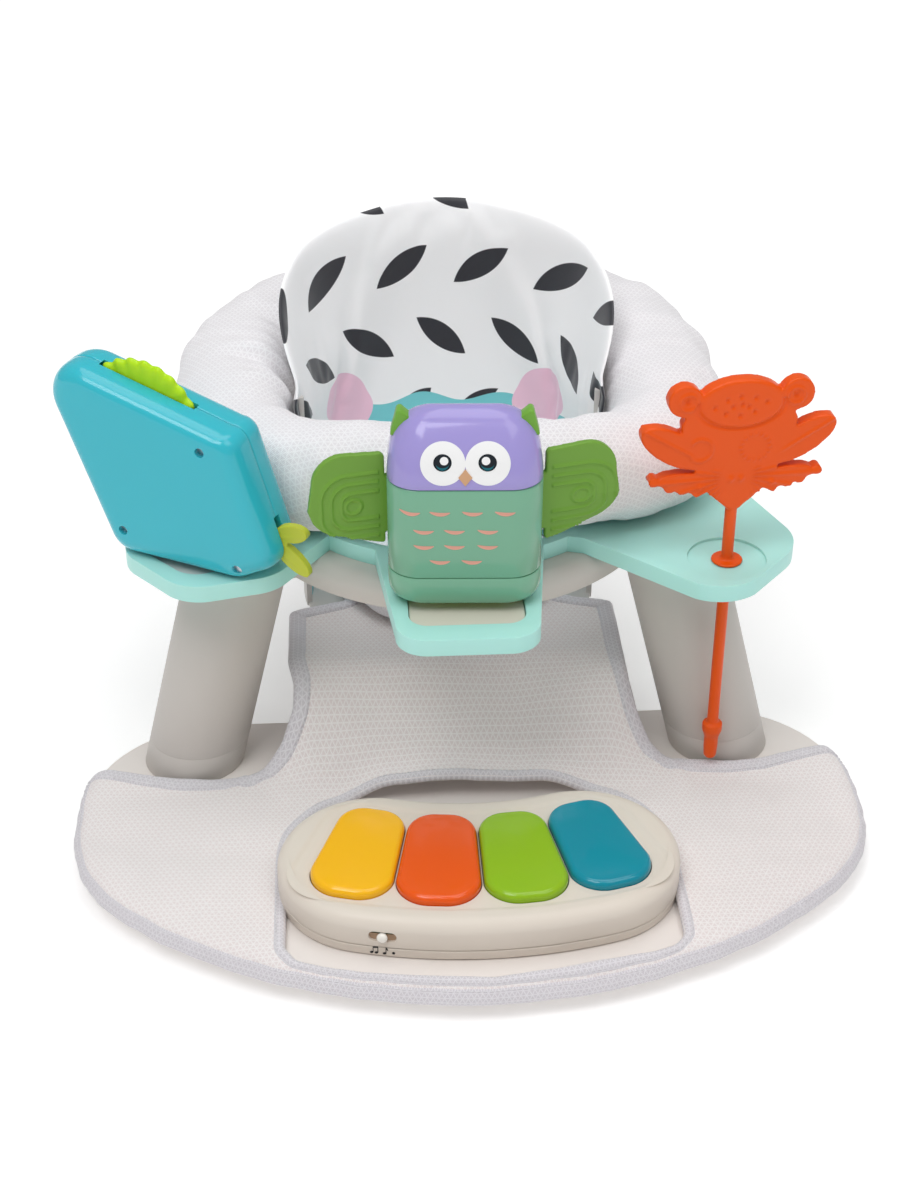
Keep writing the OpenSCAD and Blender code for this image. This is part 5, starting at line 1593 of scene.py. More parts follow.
@dataclass(frozen=True)
class Facing:
    """A flat plane in front of a surface, from which printed shapes are pressed onto it.

    Attributes:
        origin: the plane's origin, in metres.
        right: direction across the plane.
        up: direction up the plane.
        tree: the surface's faces.
    """

    origin: Vector
    right: Vector
    up: Vector
    tree: BVHTree

    def press(self, u: float, v: float, lift: float) -> Vector:
        """Follow a point of the plane down to the surface.

        Args:
            u: distance across, in millimetres.
            v: distance up, in millimetres.
            lift: height above the surface, in millimetres.

        Returns:
            The point in metres.
        """
        towards = self.right.cross(self.up)
        start = self.origin + (self.right * u + self.up * v) * MM
        hit, normal = self.tree.ray_cast(start + towards * 0.08, -towards)[:2]
        if hit is None:
            return start
        return hit + normal * lift * MM

    def disc(self, name: str, shape: Outline, lift: float, rings: int = 6) -> Piece:
        """Press a filled round-about shape onto the surface.

        Args:
            name: the object's name.
            shape: its anticlockwise outline on the plane, in millimetres.
            lift: height of its face, in millimetres.
            rings: steps from its middle to its edge.

        Returns:
            The closed piece.
        """
        cx, cy = middle_of(shape)
        count = len(shape)
        grids = []
        for level in (lift, -0.4):
            rows = [[self.press(cx + (x - cx) * k / rings, cy + (y - cy) * k / rings, level)
                     for x, y in shape] for k in range(1, rings + 1)]
            grids.append((self.press(cx, cy, level), rows))
        points: list[Vector] = []
        faces: list[tuple[int, ...]] = []
        edges = []
        for side, (mid, rows) in enumerate(grids):
            start = len(points)
            points.append(mid)
            points += [p for row in rows for p in row]
            edges.append(start + 1 + (rings - 1) * count)
            for i in range(count):
                k = (i + 1) % count
                new = [(start, start + 1 + i, start + 1 + k)]
                for r in range(rings - 1):
                    a, b = start + 1 + r * count, start + 1 + (r + 1) * count
                    new.append((a + i, b + i, b + k, a + k))
                faces += [tuple(reversed(f)) for f in new] if side else new
        for i in range(count):
            k = (i + 1) % count
            faces.append((edges[0] + k, edges[0] + i, edges[1] + i, edges[1] + k))
        return build_piece(name, points, faces, sharp=50)

    def stroke(self, name: str, line: Sequence[tuple[float, float, float]], lift: float) -> Piece:
        """Press a stroke of changing width onto the surface.

        Args:
            name: the object's name.
            line: points along its middle, each across, up and half width, in millimetres.
            lift: height of its face, in millimetres.

        Returns:
            The closed piece.
        """
        def spot(i: int, j: int) -> Vector:
            """Place of a grid point: three across the top and three across the back."""
            u, v, half = line[i]
            side = (-1, 0, 1, 1, 0, -1)[j % 6]
            return self.press(u, v + side * max(half, 0.05), lift if j % 6 < 3 else -0.3)

        mark = tube_grid(name, spot, lambda i, j: (0.0, 0.0), len(line), 6, closed=False)
        cap_tube(mark, len(line), 6)
        return mark


def cap_tube(piece: Piece, rings: int, sides: int) -> None:
    """Close both ends of an open tube with one face each."""
    with editing(piece.data) as work:
        work.verts.ensure_lookup_table()
        for start in (0, (rings - 1) * sides):
            work.faces.new([work.verts[start + j] for j in range(sides)])
        bmesh.ops.recalc_face_normals(work, faces=work.faces)
    shade(piece.data, 50)


def tree_of(piece: Piece) -> BVHTree:
    """Faces of a finished piece, for pressing shapes onto it."""
    work = bmesh.new()
    work.from_mesh(piece.data)
    tree = BVHTree.FromBMesh(work)
    work.free()
    return tree


def joined(name: str, parts: Sequence[Piece]) -> Piece:
    """Put several loose pieces of one material into one object."""
    work = bmesh.new()
    for part in parts:
        work.from_mesh(part.data)
        bpy.data.objects.remove(part)
    mesh = bpy.data.meshes.new(name)
    work.to_mesh(mesh)
    work.free()
    shade(mesh, 50)
    return add_piece(name, mesh)


def ellipse(x: float, y: float, wide: float, high: float, turn: float = 0.0, count: int = 48) -> Outline:
    """Anticlockwise points of an ellipse, turned by degrees."""
    cos, sin = math.cos(math.radians(turn)), math.sin(math.radians(turn))
    result = []
    for i in range(count):
        a = 2 * math.pi * i / count
        u, v = wide * math.cos(a), high * math.sin(a)
        result.append((x + u * cos - v * sin, y + u * sin + v * cos))
    return result


def roll(start: float, end: float, radius: float, steps: int, edge: float = 0.0) -> list[Point]:
    """Steps round a rounded edge: height and inset, from the side up to the top.

    Args:
        start: height where the rounding begins.
        end: height of the top.
        radius: how far the edge is set in at the top.
        steps: number of steps.
        edge: inset of the side below the rounding.

    Returns:
        Height and inset of each step.
    """
    result = []
    for i in range(steps + 1):
        a = math.pi / 2 * i / steps
        result.append((start + (end - start) * math.sin(a), edge + radius * (1 - math.cos(a))))
    return result


# Foot piano ------------------------------------------------------------------------------------


@dataclass
class Piano:
    """The foot piano: a bent case with a soft top edge, four domed keys and a mode switch.

    Attributes:
        front: radius of its front wall about the ring's axis.
        back: radius of its back wall.
        spread: half angle between its round ends, in degrees.
        floor: height of its underside.
        split: height of the seam between its halves.
        top: height of its top.
        dip: depth of the bed in which the keys lie.
        fan: centre on which the keys are turned, behind the ring's axis by the second value.
        pitch: angle between neighbouring keys, in degrees.
        reach: distance of a key's middle from that centre.
        switch_turn: where the switch sits round the front wall, in degrees from its middle.
        switch_z: height of the switch.
        icon_z: height of the marks under it.
    """

    front: float = 319.0
    back: float = 193.0
    spread: float = 15.5
    floor: float = 22.0
    split: float = 30.0
    top: float = 52.0
    dip: float = 1.4
    fan: Point = (5.0, 33.0)
    pitch: float = 10.29
    reach: float = 289.0
    switch_turn: float = -11.8
    switch_z: float = 39.0
    icon_z: float = 27.6

    def area(self, grow: float) -> Outline:
        """The case's outline, grown all round, from its front's middle."""
        middle, end = (self.front + self.back) / 2, (self.front - self.back) / 2
        turn = self.spread
        x, y = middle * math.sin(math.radians(turn)), -middle * math.cos(math.radians(turn))
        line = (arc(0, 0, self.front + grow, -90, -90 + turn, 24)[:-1]
                + arc(x, y, end + grow, -90 + turn, 90 + turn, 36)
                + arc(0, 0, self.back - grow, -90 + turn, -90 - turn, 40)[1:-1]
                + arc(-x, y, end + grow, 90 - turn, 270 - turn, 36)
                + arc(0, 0, self.front + grow, -90 - turn, -90, 24)[1:-1])
        return resample([(px + PLATE_X, py) for px, py in line], 320)

    def bed(self, grow: float) -> Outline:
        """Outline of the bed round the keys, from its front's middle."""
        x, y = self.fan
        half, near, far, r = 22.6, self.reach - 47.5, self.reach + 47.0, 24.0 + grow
        outer, inner = far - 24, near + 24
        lean = math.degrees(24 / outer)
        slim = math.degrees(24 / inner)

        def spot(radius: float, turn: float) -> Point:
            """Place at a radius and a turn about the keys' centre."""
            return x + radius * math.sin(math.radians(turn)), y - radius * math.cos(math.radians(turn))

        def corner(radius: float, turn: float, start: float, end: float) -> Outline:
            """A round corner about a place at a radius and a turn."""
            cx, cy = spot(radius, turn)
            return arc(cx, cy, r, start, end, 14)

        line = arc(x, y, far + grow, -90, -90 + half - lean, 20)[:-1]
        line += corner(outer, half - lean, -90 + half - lean, half)
        line += corner(inner, half - slim, half, 90 + half - slim)
        line += arc(x, y, near - grow, -90 + half - slim, -90 - half + slim, 34)[1:-1]
        line += corner(inner, -half + slim, 90 - half + slim, 180 - half)
        line += corner(outer, -half + lean, 180 - half, 270 - half + lean)
        line += arc(x, y, far + grow, -90 - half + lean, -90, 20)[1:-1]
        return resample(line, 320)

    def key_outline(self, grow: float) -> Outline:
        """A key's outline about its own middle, with its front towards the viewer."""
        fx, fy, fr = 27.3 - 22, -43.5 + 22, 22 + grow
        bx, by, br = 22.9 - 18, 43.0 - 18, 18 + grow
        return resample(arc(bx, by, br, 4, 90, 14) + arc(-bx, by, br, 90, 176, 14)
                        + arc(-fx, fy, fr, 184, 270, 16) + arc(fx, fy, fr, 270, 356, 16), 128)

    def at_key(self, index: int, outline: Outline) -> Outline:
        """Move an outline from a key's own middle to the key's place."""
        a = math.radians((index - 1.5) * self.pitch)
        x, y = self.fan
        return [(x + px * math.cos(a) - (py - self.reach) * math.sin(a),
                 y + px * math.sin(a) + (py - self.reach) * math.cos(a)) for px, py in outline]

    def on_wall(self, u: float, v: float, out: float) -> Vector:
        """Place on the front wall near the switch, u along it, v up from the floor, out from it."""
        a = math.radians(self.switch_turn) + u / self.front
        r = self.front + out
        return seat(PLATE_X + r * math.sin(a), -r * math.cos(a), v)

    def by_switch(self, u: float, v: float, out: float) -> Vector:
        """Place on the front wall, from the middle of the switch."""
        return self.on_wall(u, self.switch_z + v, out)

    def stack(self, name: str, levels: Sequence[tuple[float, Outline]], sharp: float = 35.0) -> Piece:
        """Loft outlines at heights into a closed solid."""
        return loft_levels(name, levels, seat, sharp)

    def upper_case(self, library: Library) -> None:
        """The upper half with its soft edge, the keys' bed, their windows and the switch's slot."""
        levels = [(self.split + 0.15, self.area(-0.7)), (self.split + 0.8, self.area(0.0)),
                  (self.top - 9.5, self.area(0.0))]
        levels += [(z, self.area(-d)) for z, d in roll(self.top - 9, self.top, 8.5, 9)]
        sinks = [(0.0, 3.4), (0.12, 2.2), (self.dip * 0.5, 0.9), (self.dip - 0.1, -0.3), (self.dip, -1.6)]
        levels += [(self.top - low, self.bed(grow)) for low, grow in sinks]
        case = self.stack("piano_case_top", levels)
        inside = self.area(-3.2)
        cutters = [self.stack("inside", [(self.split - 2, inside), (self.top - 3.4, inside)])]
        for i in range(4):
            window = self.at_key(i, self.key_outline(0.55))
            cutters.append(self.stack(f"window_{i}", [(self.top - 8, window), (self.top + 4, window)]))
        cutters.append(self.slot_cutter())
        carve(case, cutters)
        shade(case.data, 32)
        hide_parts("piano_upper_case")
        dress(case, CASE_CREAM.make(library))

    def slot_cutter(self) -> Piece:
        """A round-ended block that cuts the switch's slot."""
        outline = rounded_box(18.0, 7.6, 3.6, 8)
        return loft_levels("slot", [(-7.0, outline), (3.0, outline)], self.by_switch)

    def lower_case(self, library: Library) -> None:
        """The lower half, with the seam's shadow line round its top."""
        levels = [(self.floor + 0.3, self.area(-1.4)), (self.floor + 1.2, self.area(-0.4)),
                  (self.floor + 2.4, self.area(-0.1)), (self.split - 0.8, self.area(0.0)),
                  (self.split - 0.15, self.area(-0.7))]
        case = self.stack("piano_case_floor", levels)
        inside = self.area(-3.2)
        carve(case, [self.stack("room", [(self.floor + 3.3, inside), (self.split + 2, inside)])])
        shade(case.data, 32)
        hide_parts("piano_lower_case")
        dress(case, CASE_CREAM.make(library))

    def keys(self, library: Library) -> None:
        """Four glossy keys, each with a rolled edge and a low dome."""
        for i, (name, colour) in enumerate(KEY_COLOURS.items()):
            levels = [(48.2, 0.5), (49.2, 0.5), (49.3, 0.0)] + roll(52.2, 56.3, 4.2, 8)
            levels += [(56.55, 6.5), (56.75, 9.5), (56.9, 13.0), (57.0, 16.5)]
            outlines = [(z, self.at_key(i, self.key_outline(-d))) for z, d in levels]
            key = self.stack(f"key_{name}_cap", outlines, 40)
            finish = Moulded(f"key_{name}", colour, Sheen.GLOSSY, 0.1)
            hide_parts(f"key_{name}")
            dress(key, finish.make(library), f"key_{name}_body")

    def switch(self, library: Library) -> None:
        """The mode switch: a plate behind the slot and a round knob in it."""
        plate = rounded_box(8.4, 6.4, 1.2, 4)
        back = loft_levels("switch_plate", [(-5.6, plate), (-4.6, plate)], self.by_switch)
        levels = [(-4.7, 2.2), (-1.2, 2.2), (-0.6, 2.9), (0.2, 3.4), (1.2, 3.5), (2.1, 3.2), (2.7, 2.5),
                  (3.05, 1.5), (3.15, 0.6)]
        circles = [(out, ellipse(0, 0, r, r, 0, 32)) for out, r in levels]
        knob = loft_levels("switch_knob", circles, self.by_switch, 50)
        slider = joined("mode_switch_slider", [back, knob])
        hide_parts("mode_switch")
        dress(slider, KNOB_WHITE.make(library), "switch_slider")

    def icons(self, library: Library) -> None:
        """Black note marks under the switch: two joined notes, one note and a dot."""
        def slab(outline: Outline, thick: float = 0.18) -> Piece:
            """A thin printed shape on the wall."""
            ends = [(-0.35, outline), (thick, outline)]
            return loft_levels("mark", ends, lambda u, v, out: self.on_wall(u, self.icon_z + v, out))

        def note(u: float, tall: float) -> list[Piece]:
            """A note's head and stem."""
            stem = [(u + 0.75, -1.7), (u + 1.15, -1.7), (u + 1.15, tall), (u + 0.75, tall)]
            return [slab(ellipse(u, -2.0, 1.2, 0.85, 20, 20)), slab(stem, 0.2)]

        beam = [(-6.25, 1.5), (-2.85, 2.3), (-2.85, 3.2), (-6.25, 2.4)]
        flag = [(2.15, 2.8), (2.15, 1.6), (2.9, 0.9), (3.3, 0.2), (3.5, 0.9), (3.2, 1.7)]
        parts = note(-7.0, 2.0) + note(-4.0, 2.6) + [slab(beam, 0.22)]
        parts += note(1.2, 2.8) + [slab(flag, 0.22), slab(ellipse(7.0, -1.2, 1.0, 1.0, 0, 20))]
        marks = joined("switch_icons", parts)
        dress(marks, ICON_BLACK.make(library))

    def build(self, library: Library) -> None:
        """Mould and dress the foot piano."""
        self.upper_case(library)
        self.lower_case(library)
        self.keys(library)
        self.switch(library)
        self.icons(library)


# Toys ------------------------------------------------------------------------------------------


@dataclass
class Owl:
    """The owl: foot, base, body, pillow-shaped head, ears, printed face and feathers, two wings.

    Attributes:
        place: its middle on the tray, from the ring's axis.
        turn: its turn in degrees.
        base: height of its underside.
        wide: width of its body.
        deep: depth of its body.
        corner: radius of its upright corners.
    """

    place: Point = (0.0, -162.0)
    turn: float = -3.0
    base: float = 199.0
    wide: float = 97.0
    deep: float = 60.0
    corner: float = 20.0

    def at(self, x: float, y: float, h: float) -> Vector:
        """Turn the owl's own millimetres into the part's frame."""
        c, s = math.cos(math.radians(self.turn)), math.sin(math.radians(self.turn))
        return seat(self.place[0] + x * c - y * s, self.place[1] + x * s + y * c, self.base + h)

    def block(self, name: str, levels: Sequence[tuple[float, float, float]]) -> Piece:
        """Loft round-cornered sections, each a height and how much narrower it is across and deep."""
        outlines = []
        for h, nx, ny in levels:
            w, d = self.wide - 2 * nx, self.deep - 2 * ny
            outlines.append((h, rounded_box(w, d, min(self.corner, 0.49 * min(w, d)), 14)))
        return loft_levels(name, outlines, self.at, 40)

    def facing(self, host: Piece, h: float, pitch: float = 0.0) -> Facing:
        """A plane in front of the owl at a height, leaning back by a pitch in degrees."""
        c, s = math.cos(math.radians(self.turn)), math.sin(math.radians(self.turn))
        right, ahead = Vector((c, s, 0)), Vector((-s, c, 0))
        p = math.radians(pitch)
        up = Vector((0, 0, 1)) * math.cos(p) + ahead * math.sin(p)
        return Facing(self.at(0, -self.deep / 2, h), right, up, tree_of(host))

    def shell(self, library: Library) -> tuple[Piece, Piece]:
        """Mould the base, the body and the head; return the body and the head."""
        low = self.block("owl_base_shell", [
            (5.1, 6.2, 6.2), (5.9, 4.2, 4.2), (7.2, 2.8, 2.8), (9, 1.6, 1.6), (11.5, 0.8, 0.8),
            (15, 0.25, 0.25), (19, 0, 0), (25.9, 0.1, 0.1), (26.5, 0.3, 0.3), (26.8, 1.0, 1.0)])
        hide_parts("owl_base")
        dress(low, OWL_GREEN.make(library))
        body = self.block("owl_body_shell", [
            (27.0, 1.0, 1.0), (27.3, 0.3, 0.3), (27.9, 0, 0),
            (89.0, 0, 0), (89.6, 0.3, 0.3), (89.9, 1.0, 1.0)])
        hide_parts("owl_body")
        dress(body, OWL_GREEN.make(library))
        head = self.block("owl_head_shell", [
            (90.1, 1.0, 1.0), (90.4, 0.3, 0.3), (91, 0, 0), (96, 0.2, 0.5), (102, 0.8, 1.9), (108, 1.8, 4.0),
            (113, 3.0, 6.4), (117.5, 4.8, 9.2), (121.5, 7.2, 12.2), (125, 10.3, 15.3), (127.8, 14.0, 18.3),
            (130, 18.5, 21.4), (131.6, 24, 24.4), (132.5, 31, 27.2), (132.85, 38, 29.0)])
        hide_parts("owl_head")
        dress(head, OWL_PURPLE.make(library))
        return body, head

    def face(self, library: Library, head: Piece) -> None:
        """Print the eyes, the pupils with their lights, and the beak onto the head."""
        front = self.facing(head, 108.5, 22)
        eyes = [front.disc("eye", ellipse(s * 13.7, 0, 13.8, 13.6), 0.25, 8) for s in (-1, 1)]
        whites = joined("owl_eye_discs", eyes)
        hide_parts("owl_eyes")
        dress(whites, EYE_WHITE.make(library))
        pupils = [front.disc("pupil", ellipse(s * 13.7 - 0.2, 0.6, 5.6, 5.3, 0, 40), 0.4, 4) for s in (-1, 1)]
        dress(joined("owl_pupils", pupils), EYE_BLACK.make(library))
        irises = []
        for s in (-1, 1):
            rim = [(s * 13.7 - 0.2 + 4.2 * math.cos(math.radians(a)), 0.6 + 3.95 * math.sin(math.radians(a)),
                    0.75 * math.sin(math.radians((a - 190) / 160 * 180))) for a in range(190, 351, 8)]
            irises.append(front.stroke("iris", rim, 0.5))
        dress(joined("owl_irises", irises), EYE_TEAL.make(library))
        lights = [front.disc("light", ellipse(s * 12.7 - 0.2, 1.7, 2.6, 2.5, 0, 32), 0.6, 3) for s in (-1, 1)]
        dress(joined("owl_eye_lights", lights), EYE_WHITE.make(library))
        beak = resample([(0.0, -13.8), (4.3, -8.6), (0.0, -3.4), (-4.3, -8.6)], 40)
        bill = front.disc("owl_beak_print", beak, 0.75, 5)
        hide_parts("owl_beak")
        dress(bill, BEAK_TAN.make(library))

    def feathers(self, library: Library, body: Piece) -> None:
        """Print four rows of small crescents onto the breast."""
        front = self.facing(body, 0)
        rows = [(73.5, (-34.0, -15.6, 4.4, 24.5)), (60.5, (-25.6, -6.6, 14.0)), (49.5, (-25.6, -6.6, 14.0)),
                (38.6, (-15.6, 4.2))]
        marks = []
        for h, places in rows:
            for u in places:
                line = []
                for k in range(15):
                    t = k / 7 - 1
                    droop = 1.5 * t * t - 0.35 * t
                    high = 1.15 * (1 - t * t) ** 0.7 if abs(t) < 1 else 0.0
                    line.append((u + 6.4 * t, h + droop, 0.1 + high))
                marks.append(front.stroke("feather", line, 0.2))
        dress(joined("owl_feathers", marks), FEATHER_PINK.make(library))

    def ears(self, library: Library) -> None:
        """Mould two soft-edged ears on the corners of the head."""
        parts = []
        for s in (-1, 1):
            outline = (arc(40.0, 129.6, 2.4, 14, 112, 10) + [(31, 124.5), (38, 113)]
                       + arc(44.6, 116.0, 1.3, 300, 374, 5))
            steps = [(-5.2, 1.2), (-4.9, 0.4), (-4.2, 0.0), (4.2, 0.0), (4.9, 0.4), (5.2, 1.2)]
            shapes = [inset(outline, d) for _, d in steps]
            rings = [[self.at(s * x, y, h) for x, h in shape] for (y, _), shape in zip(steps, shapes)]
            parts.append(loft("ear", rings, (shapes[0], shapes[-1]), 60))
        pair = joined("owl_ear_pair", parts)
        finish_mesh(pair.data, 60)
        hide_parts("owl_ears")
        dress(pair, EAR_GREEN.make(library))

    def wings(self, library: Library) -> None:
        """Mould the two rubber wings with their raised lines."""
        root, reach, middle = 6.5, 57.0, 66.0
        for side, name in ((-1, "left"), (1, "right")):
            wing = skinned(node_copy(f"owl_wing_{name}", f"wing_{name}_flap"), 0.7, 6, 0.5)
            pin = self.at(side * (self.wide / 2 - 4.5), 0, 0)
            turn = math.radians(self.turn + side * -15.0)
            along = Vector((side * math.cos(turn), side * math.sin(turn), 0))
            face = Vector((along.y, -along.x, 0))

            def ridges(p: Vector, n: Vector) -> float:
                """Height of the raised lines at a point of the wing."""
                if abs(n.dot(face)) < 0.7:
                    return 0.0
                u = (p - pin).dot(along) / MM
                v = (p.z - pin.z) / MM - (middle + 1.0)
                height = 0.0
                if u > root + 4:
                    for k in range(3):
                        wide, high, r = reach - 9.5 - 6.5 * k - 10, 22.5 - 6.5 * k, 17.0 - 5.0 * k
                        dx, dy = max(0.0, u - 10 - (wide - r)), abs(v) - (high - r)
                        far = math.hypot(dx, max(0.0, dy)) - r if dx > 0 or dy > 0 else -9.0
                        if dx <= 0 < dy:
                            far = dy - r
                        elif dx > 0 >= dy:
                            far = dx - r
                        height += 1.25 * math.exp(-far ** 2)
                    ring = math.hypot(u - 27, v) - 5.0
                    height += 1.1 * math.exp(-ring ** 2)
                return height

            for vertex in wing.data.vertices:
                u = (vertex.co - pin).dot(along) / MM
                v = (vertex.co.z - pin.z) / MM - middle
                vertex.co -= along * (0.5 * max(0.0, -v) * ease(u, root + 4, reach)) * MM
            emboss(wing, ridges)
            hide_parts(f"owl_wing_{name}")
            dress(wing, WING_GREEN.make(library), f"wing_{name}")

    def build(self, library: Library) -> None:
        """Mould and dress the owl."""
        dress(softened("owl_foot", "owl_foot_plate", 0.8, 2), OWL_FOOT.make(library))
        body, head = self.shell(library)
        self.face(library, head)
        self.feathers(library, body)
        self.ears(library)
        self.wings(library)


@dataclass
class Fish:
    """The fish: two glossy shells, a ruffled wheel between them and a soft tail.

    Attributes:
        foot: lower edge of its outer face, from the ring's axis.
        base: height of its lower edge.
        deep: its thickness.
        seam: depth at which the shells meet.
        middle: the point its sections shrink about.
        wheel: middle of the wheel.
        wheel_r: its radius.
        turn: cosine and sine of the 28 degrees that it is turned about the upright.
    """

    foot: Point = (-189.0, -130.0)
    base: float = 201.3
    deep: float = 44.0
    seam: float = 21.0
    middle: Point = (-6.0, 66.0)
    wheel: Point = (-28.0, 92.0)
    wheel_r: float = 44.0
    turn: Point = (0.8829, 0.4695)

    def at(self, x: float, y: float, z: float) -> Vector:
        """Turn the fish's own millimetres, along, up and out, into the part's frame."""
        return seat(*self.post_spot(x, z), self.base + y)

    def outline(self, scale: float, trim: float = 0.0) -> Outline:
        """The fish's outline, shrunk about its middle and trimmed all round."""
        line = (arc(-34, 16, 16, 195, 270, 16) + arc(44, 14, 14, 270, 300, 8) + arc(60, 22, 13, 300, 375, 16)
                + arc(39, 92, 12, 15, 92, 16) + arc(-66, 110, 20, 78, 200, 30))
        mx, my = self.middle
        line = [(mx + (x - mx) * scale, my + (y - my) * scale) for x, y in resample(line, 200)]
        return inset(line, trim) if trim else line

    def shell(self, name: str, levels: Sequence[tuple[float, float, float]]) -> Piece:
        """Loft outlines, each a depth, a scale and a trim."""
        return loft_levels(name, [(z, self.outline(scale, trim)) for z, scale, trim in levels], self.at, 38)

    def pin(self, name: str, x: float, y: float, r: float, low: float, high: float, count: int = 96) -> Piece:
        """A round cutter across the fish."""
        shape = ellipse(x, y, r, r, 0, count)
        return loft_levels(name, [(low, shape), (high, shape)], self.at)

    def cutters(self, outer: bool) -> list[Piece]:
        """Shapes that a shell gives way to: wheel's slot, tail's space, and the outer one's screw dimples."""
        tools = [self.pin("slot", *self.wheel, self.wheel_r + 1.2, self.seam - 3.3, self.seam + 3.3, 180)]
        half, reach, up, down = 9.5, 40.0, math.radians(30), math.radians(52)
        high = (reach * math.cos(up) - half * math.sin(up), reach * math.sin(up) + half * math.cos(up))
        low = (reach * math.cos(down) - half * math.sin(down),
               -reach * math.sin(down) - half * math.cos(down))
        space = [(58 + x, 28 + y) for x, y in arc(0, 0, half, 120, 218, 16) + [low, high]]
        tools.append(loft_levels("tail_space", [(self.seam - 3.1, space), (self.seam + 3.1, space)], self.at))
        if outer:
            for k, (x, y) in enumerate(((27, 92), (48, 11), (-36, 20))):
                tools.append(self.pin(f"dimple_{k}", x, y, 3.3, self.deep - 7.0, self.deep + 3, 32))
        return tools

    def shells(self, library: Library) -> None:
        """Mould the two shells."""
        outer = [(self.seam + 0.12, 1.0, 0.8), (self.seam + 0.45, 1.0, 0.25), (self.seam + 1.0, 1.0, 0.0)]
        for k in range(1, 15):
            t = 1 - (1 - k / 14) ** 1.7
            outer.append((self.seam + 1 + 21.6 * t, 0.8 + 0.2 * (1 - t ** 3.4) ** 0.42, 0.0))
        outer += [(43.75, 0.74, 0.0), (43.9, 0.6, 0.0), (43.98, 0.4, 0.0)]
        inner = [(0.02, 0.55, 0.0), (0.15, 0.7, 0.0)]
        for k in range(13):
            t = (k / 12) ** 1.7
            inner.append((0.4 + 19 * t, 0.82 + 0.18 * (1 - (1 - t) ** 3.4) ** 0.45, 0.0))
        inner += [(self.seam - 1.0, 1.0, 0.0), (self.seam - 0.45, 1.0, 0.25), (self.seam - 0.12, 1.0, 0.8)]
        for name, levels, node in (("fish_outer_shell", outer, "fish_back_shell"),
                                   ("fish_inner_shell", inner, "fish_front_shell")):
            shell = self.shell(name, levels)
            carve(shell, self.cutters(node == "fish_back_shell"))
            shade(shell.data, 38)
            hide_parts(node)
            dress(shell, FISH_TEAL.make(library))
        post = ellipse(2, 12, 7, 7, 0, 40)
        stub = loft_levels("fish_post", [(190.5, post), (self.base + 4, post)],
                           lambda x, z, h: seat(*self.post_spot(x, z), h))
        dress(stub, FISH_TEAL.make(library))

    def post_spot(self, x: float, z: float) -> Point:
        """Place on the tray of a point along and across the fish."""
        back = self.deep - z
        c, s = self.turn
        return self.foot[0] + c * x + s * back, self.foot[1] - s * x + c * back

    def ruffle(self, library: Library) -> None:
        """Mould the wheel, with ruffles twisted round its rim."""
        half = [(3.5, 2.5), (20, 2.5), (34, 2.5), (38, 2.45), (40.2, 2.3), (42, 1.7), (43, 0.6)]
        profile = [(r, -z) for r, z in half] + list(reversed(half))
        count = 400

        def point(i: int, j: int) -> Vector:
            """Place of a grid point."""
            r, z = profile[j % len(profile)]
            a = 2 * math.pi * i / count
            rim = ease(r, 34, 42)
            phase = 26 * a + 0.5 * z
            r += rim * (math.cos(phase) - 0.1)
            z += rim * 0.65 * math.sin(phase + 0.9)
            return self.at(self.wheel[0] + r * math.cos(a), self.wheel[1] + r * math.sin(a), self.seam + z)

        wheel = tube_grid("fish_ruffle_wheel", point, lambda i, j: (0.0, 0.0), count, len(profile))
        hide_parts("fish_wheel")
        dress(wheel, FISH_LIME.make(library), "wheel")

    def build(self, library: Library) -> None:
        """Mould and dress the fish."""
        self.shells(library)
        self.ruffle(library)
        tail = skinned(node_copy("fish_tail", "fish_tail_fin"), 0.6, 5, 0.5)
        pin = self.at(58, 28, self.seam)
        c, s = self.turn
        along, face = Vector((c, -s, 0)), Vector((s, c, 0))

        def rays(p: Vector, n: Vector) -> float:
            """Height of the fin's raised rays."""
            if abs(n.dot(face)) < 0.6:
                return 0.0
            u, v = (p - pin).dot(along) / MM, (p.z - pin.z) / MM
            turn = math.degrees(math.atan2(v, u))
            return 0.35 * math.exp(-((abs(turn) % 24 - 12) / 4) ** 2) * ease(math.hypot(u, v), 9, 14)

        emboss(tail, rays)
        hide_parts("fish_tail")
        dress(tail, TAIL_OLIVE.make(library), "tail")


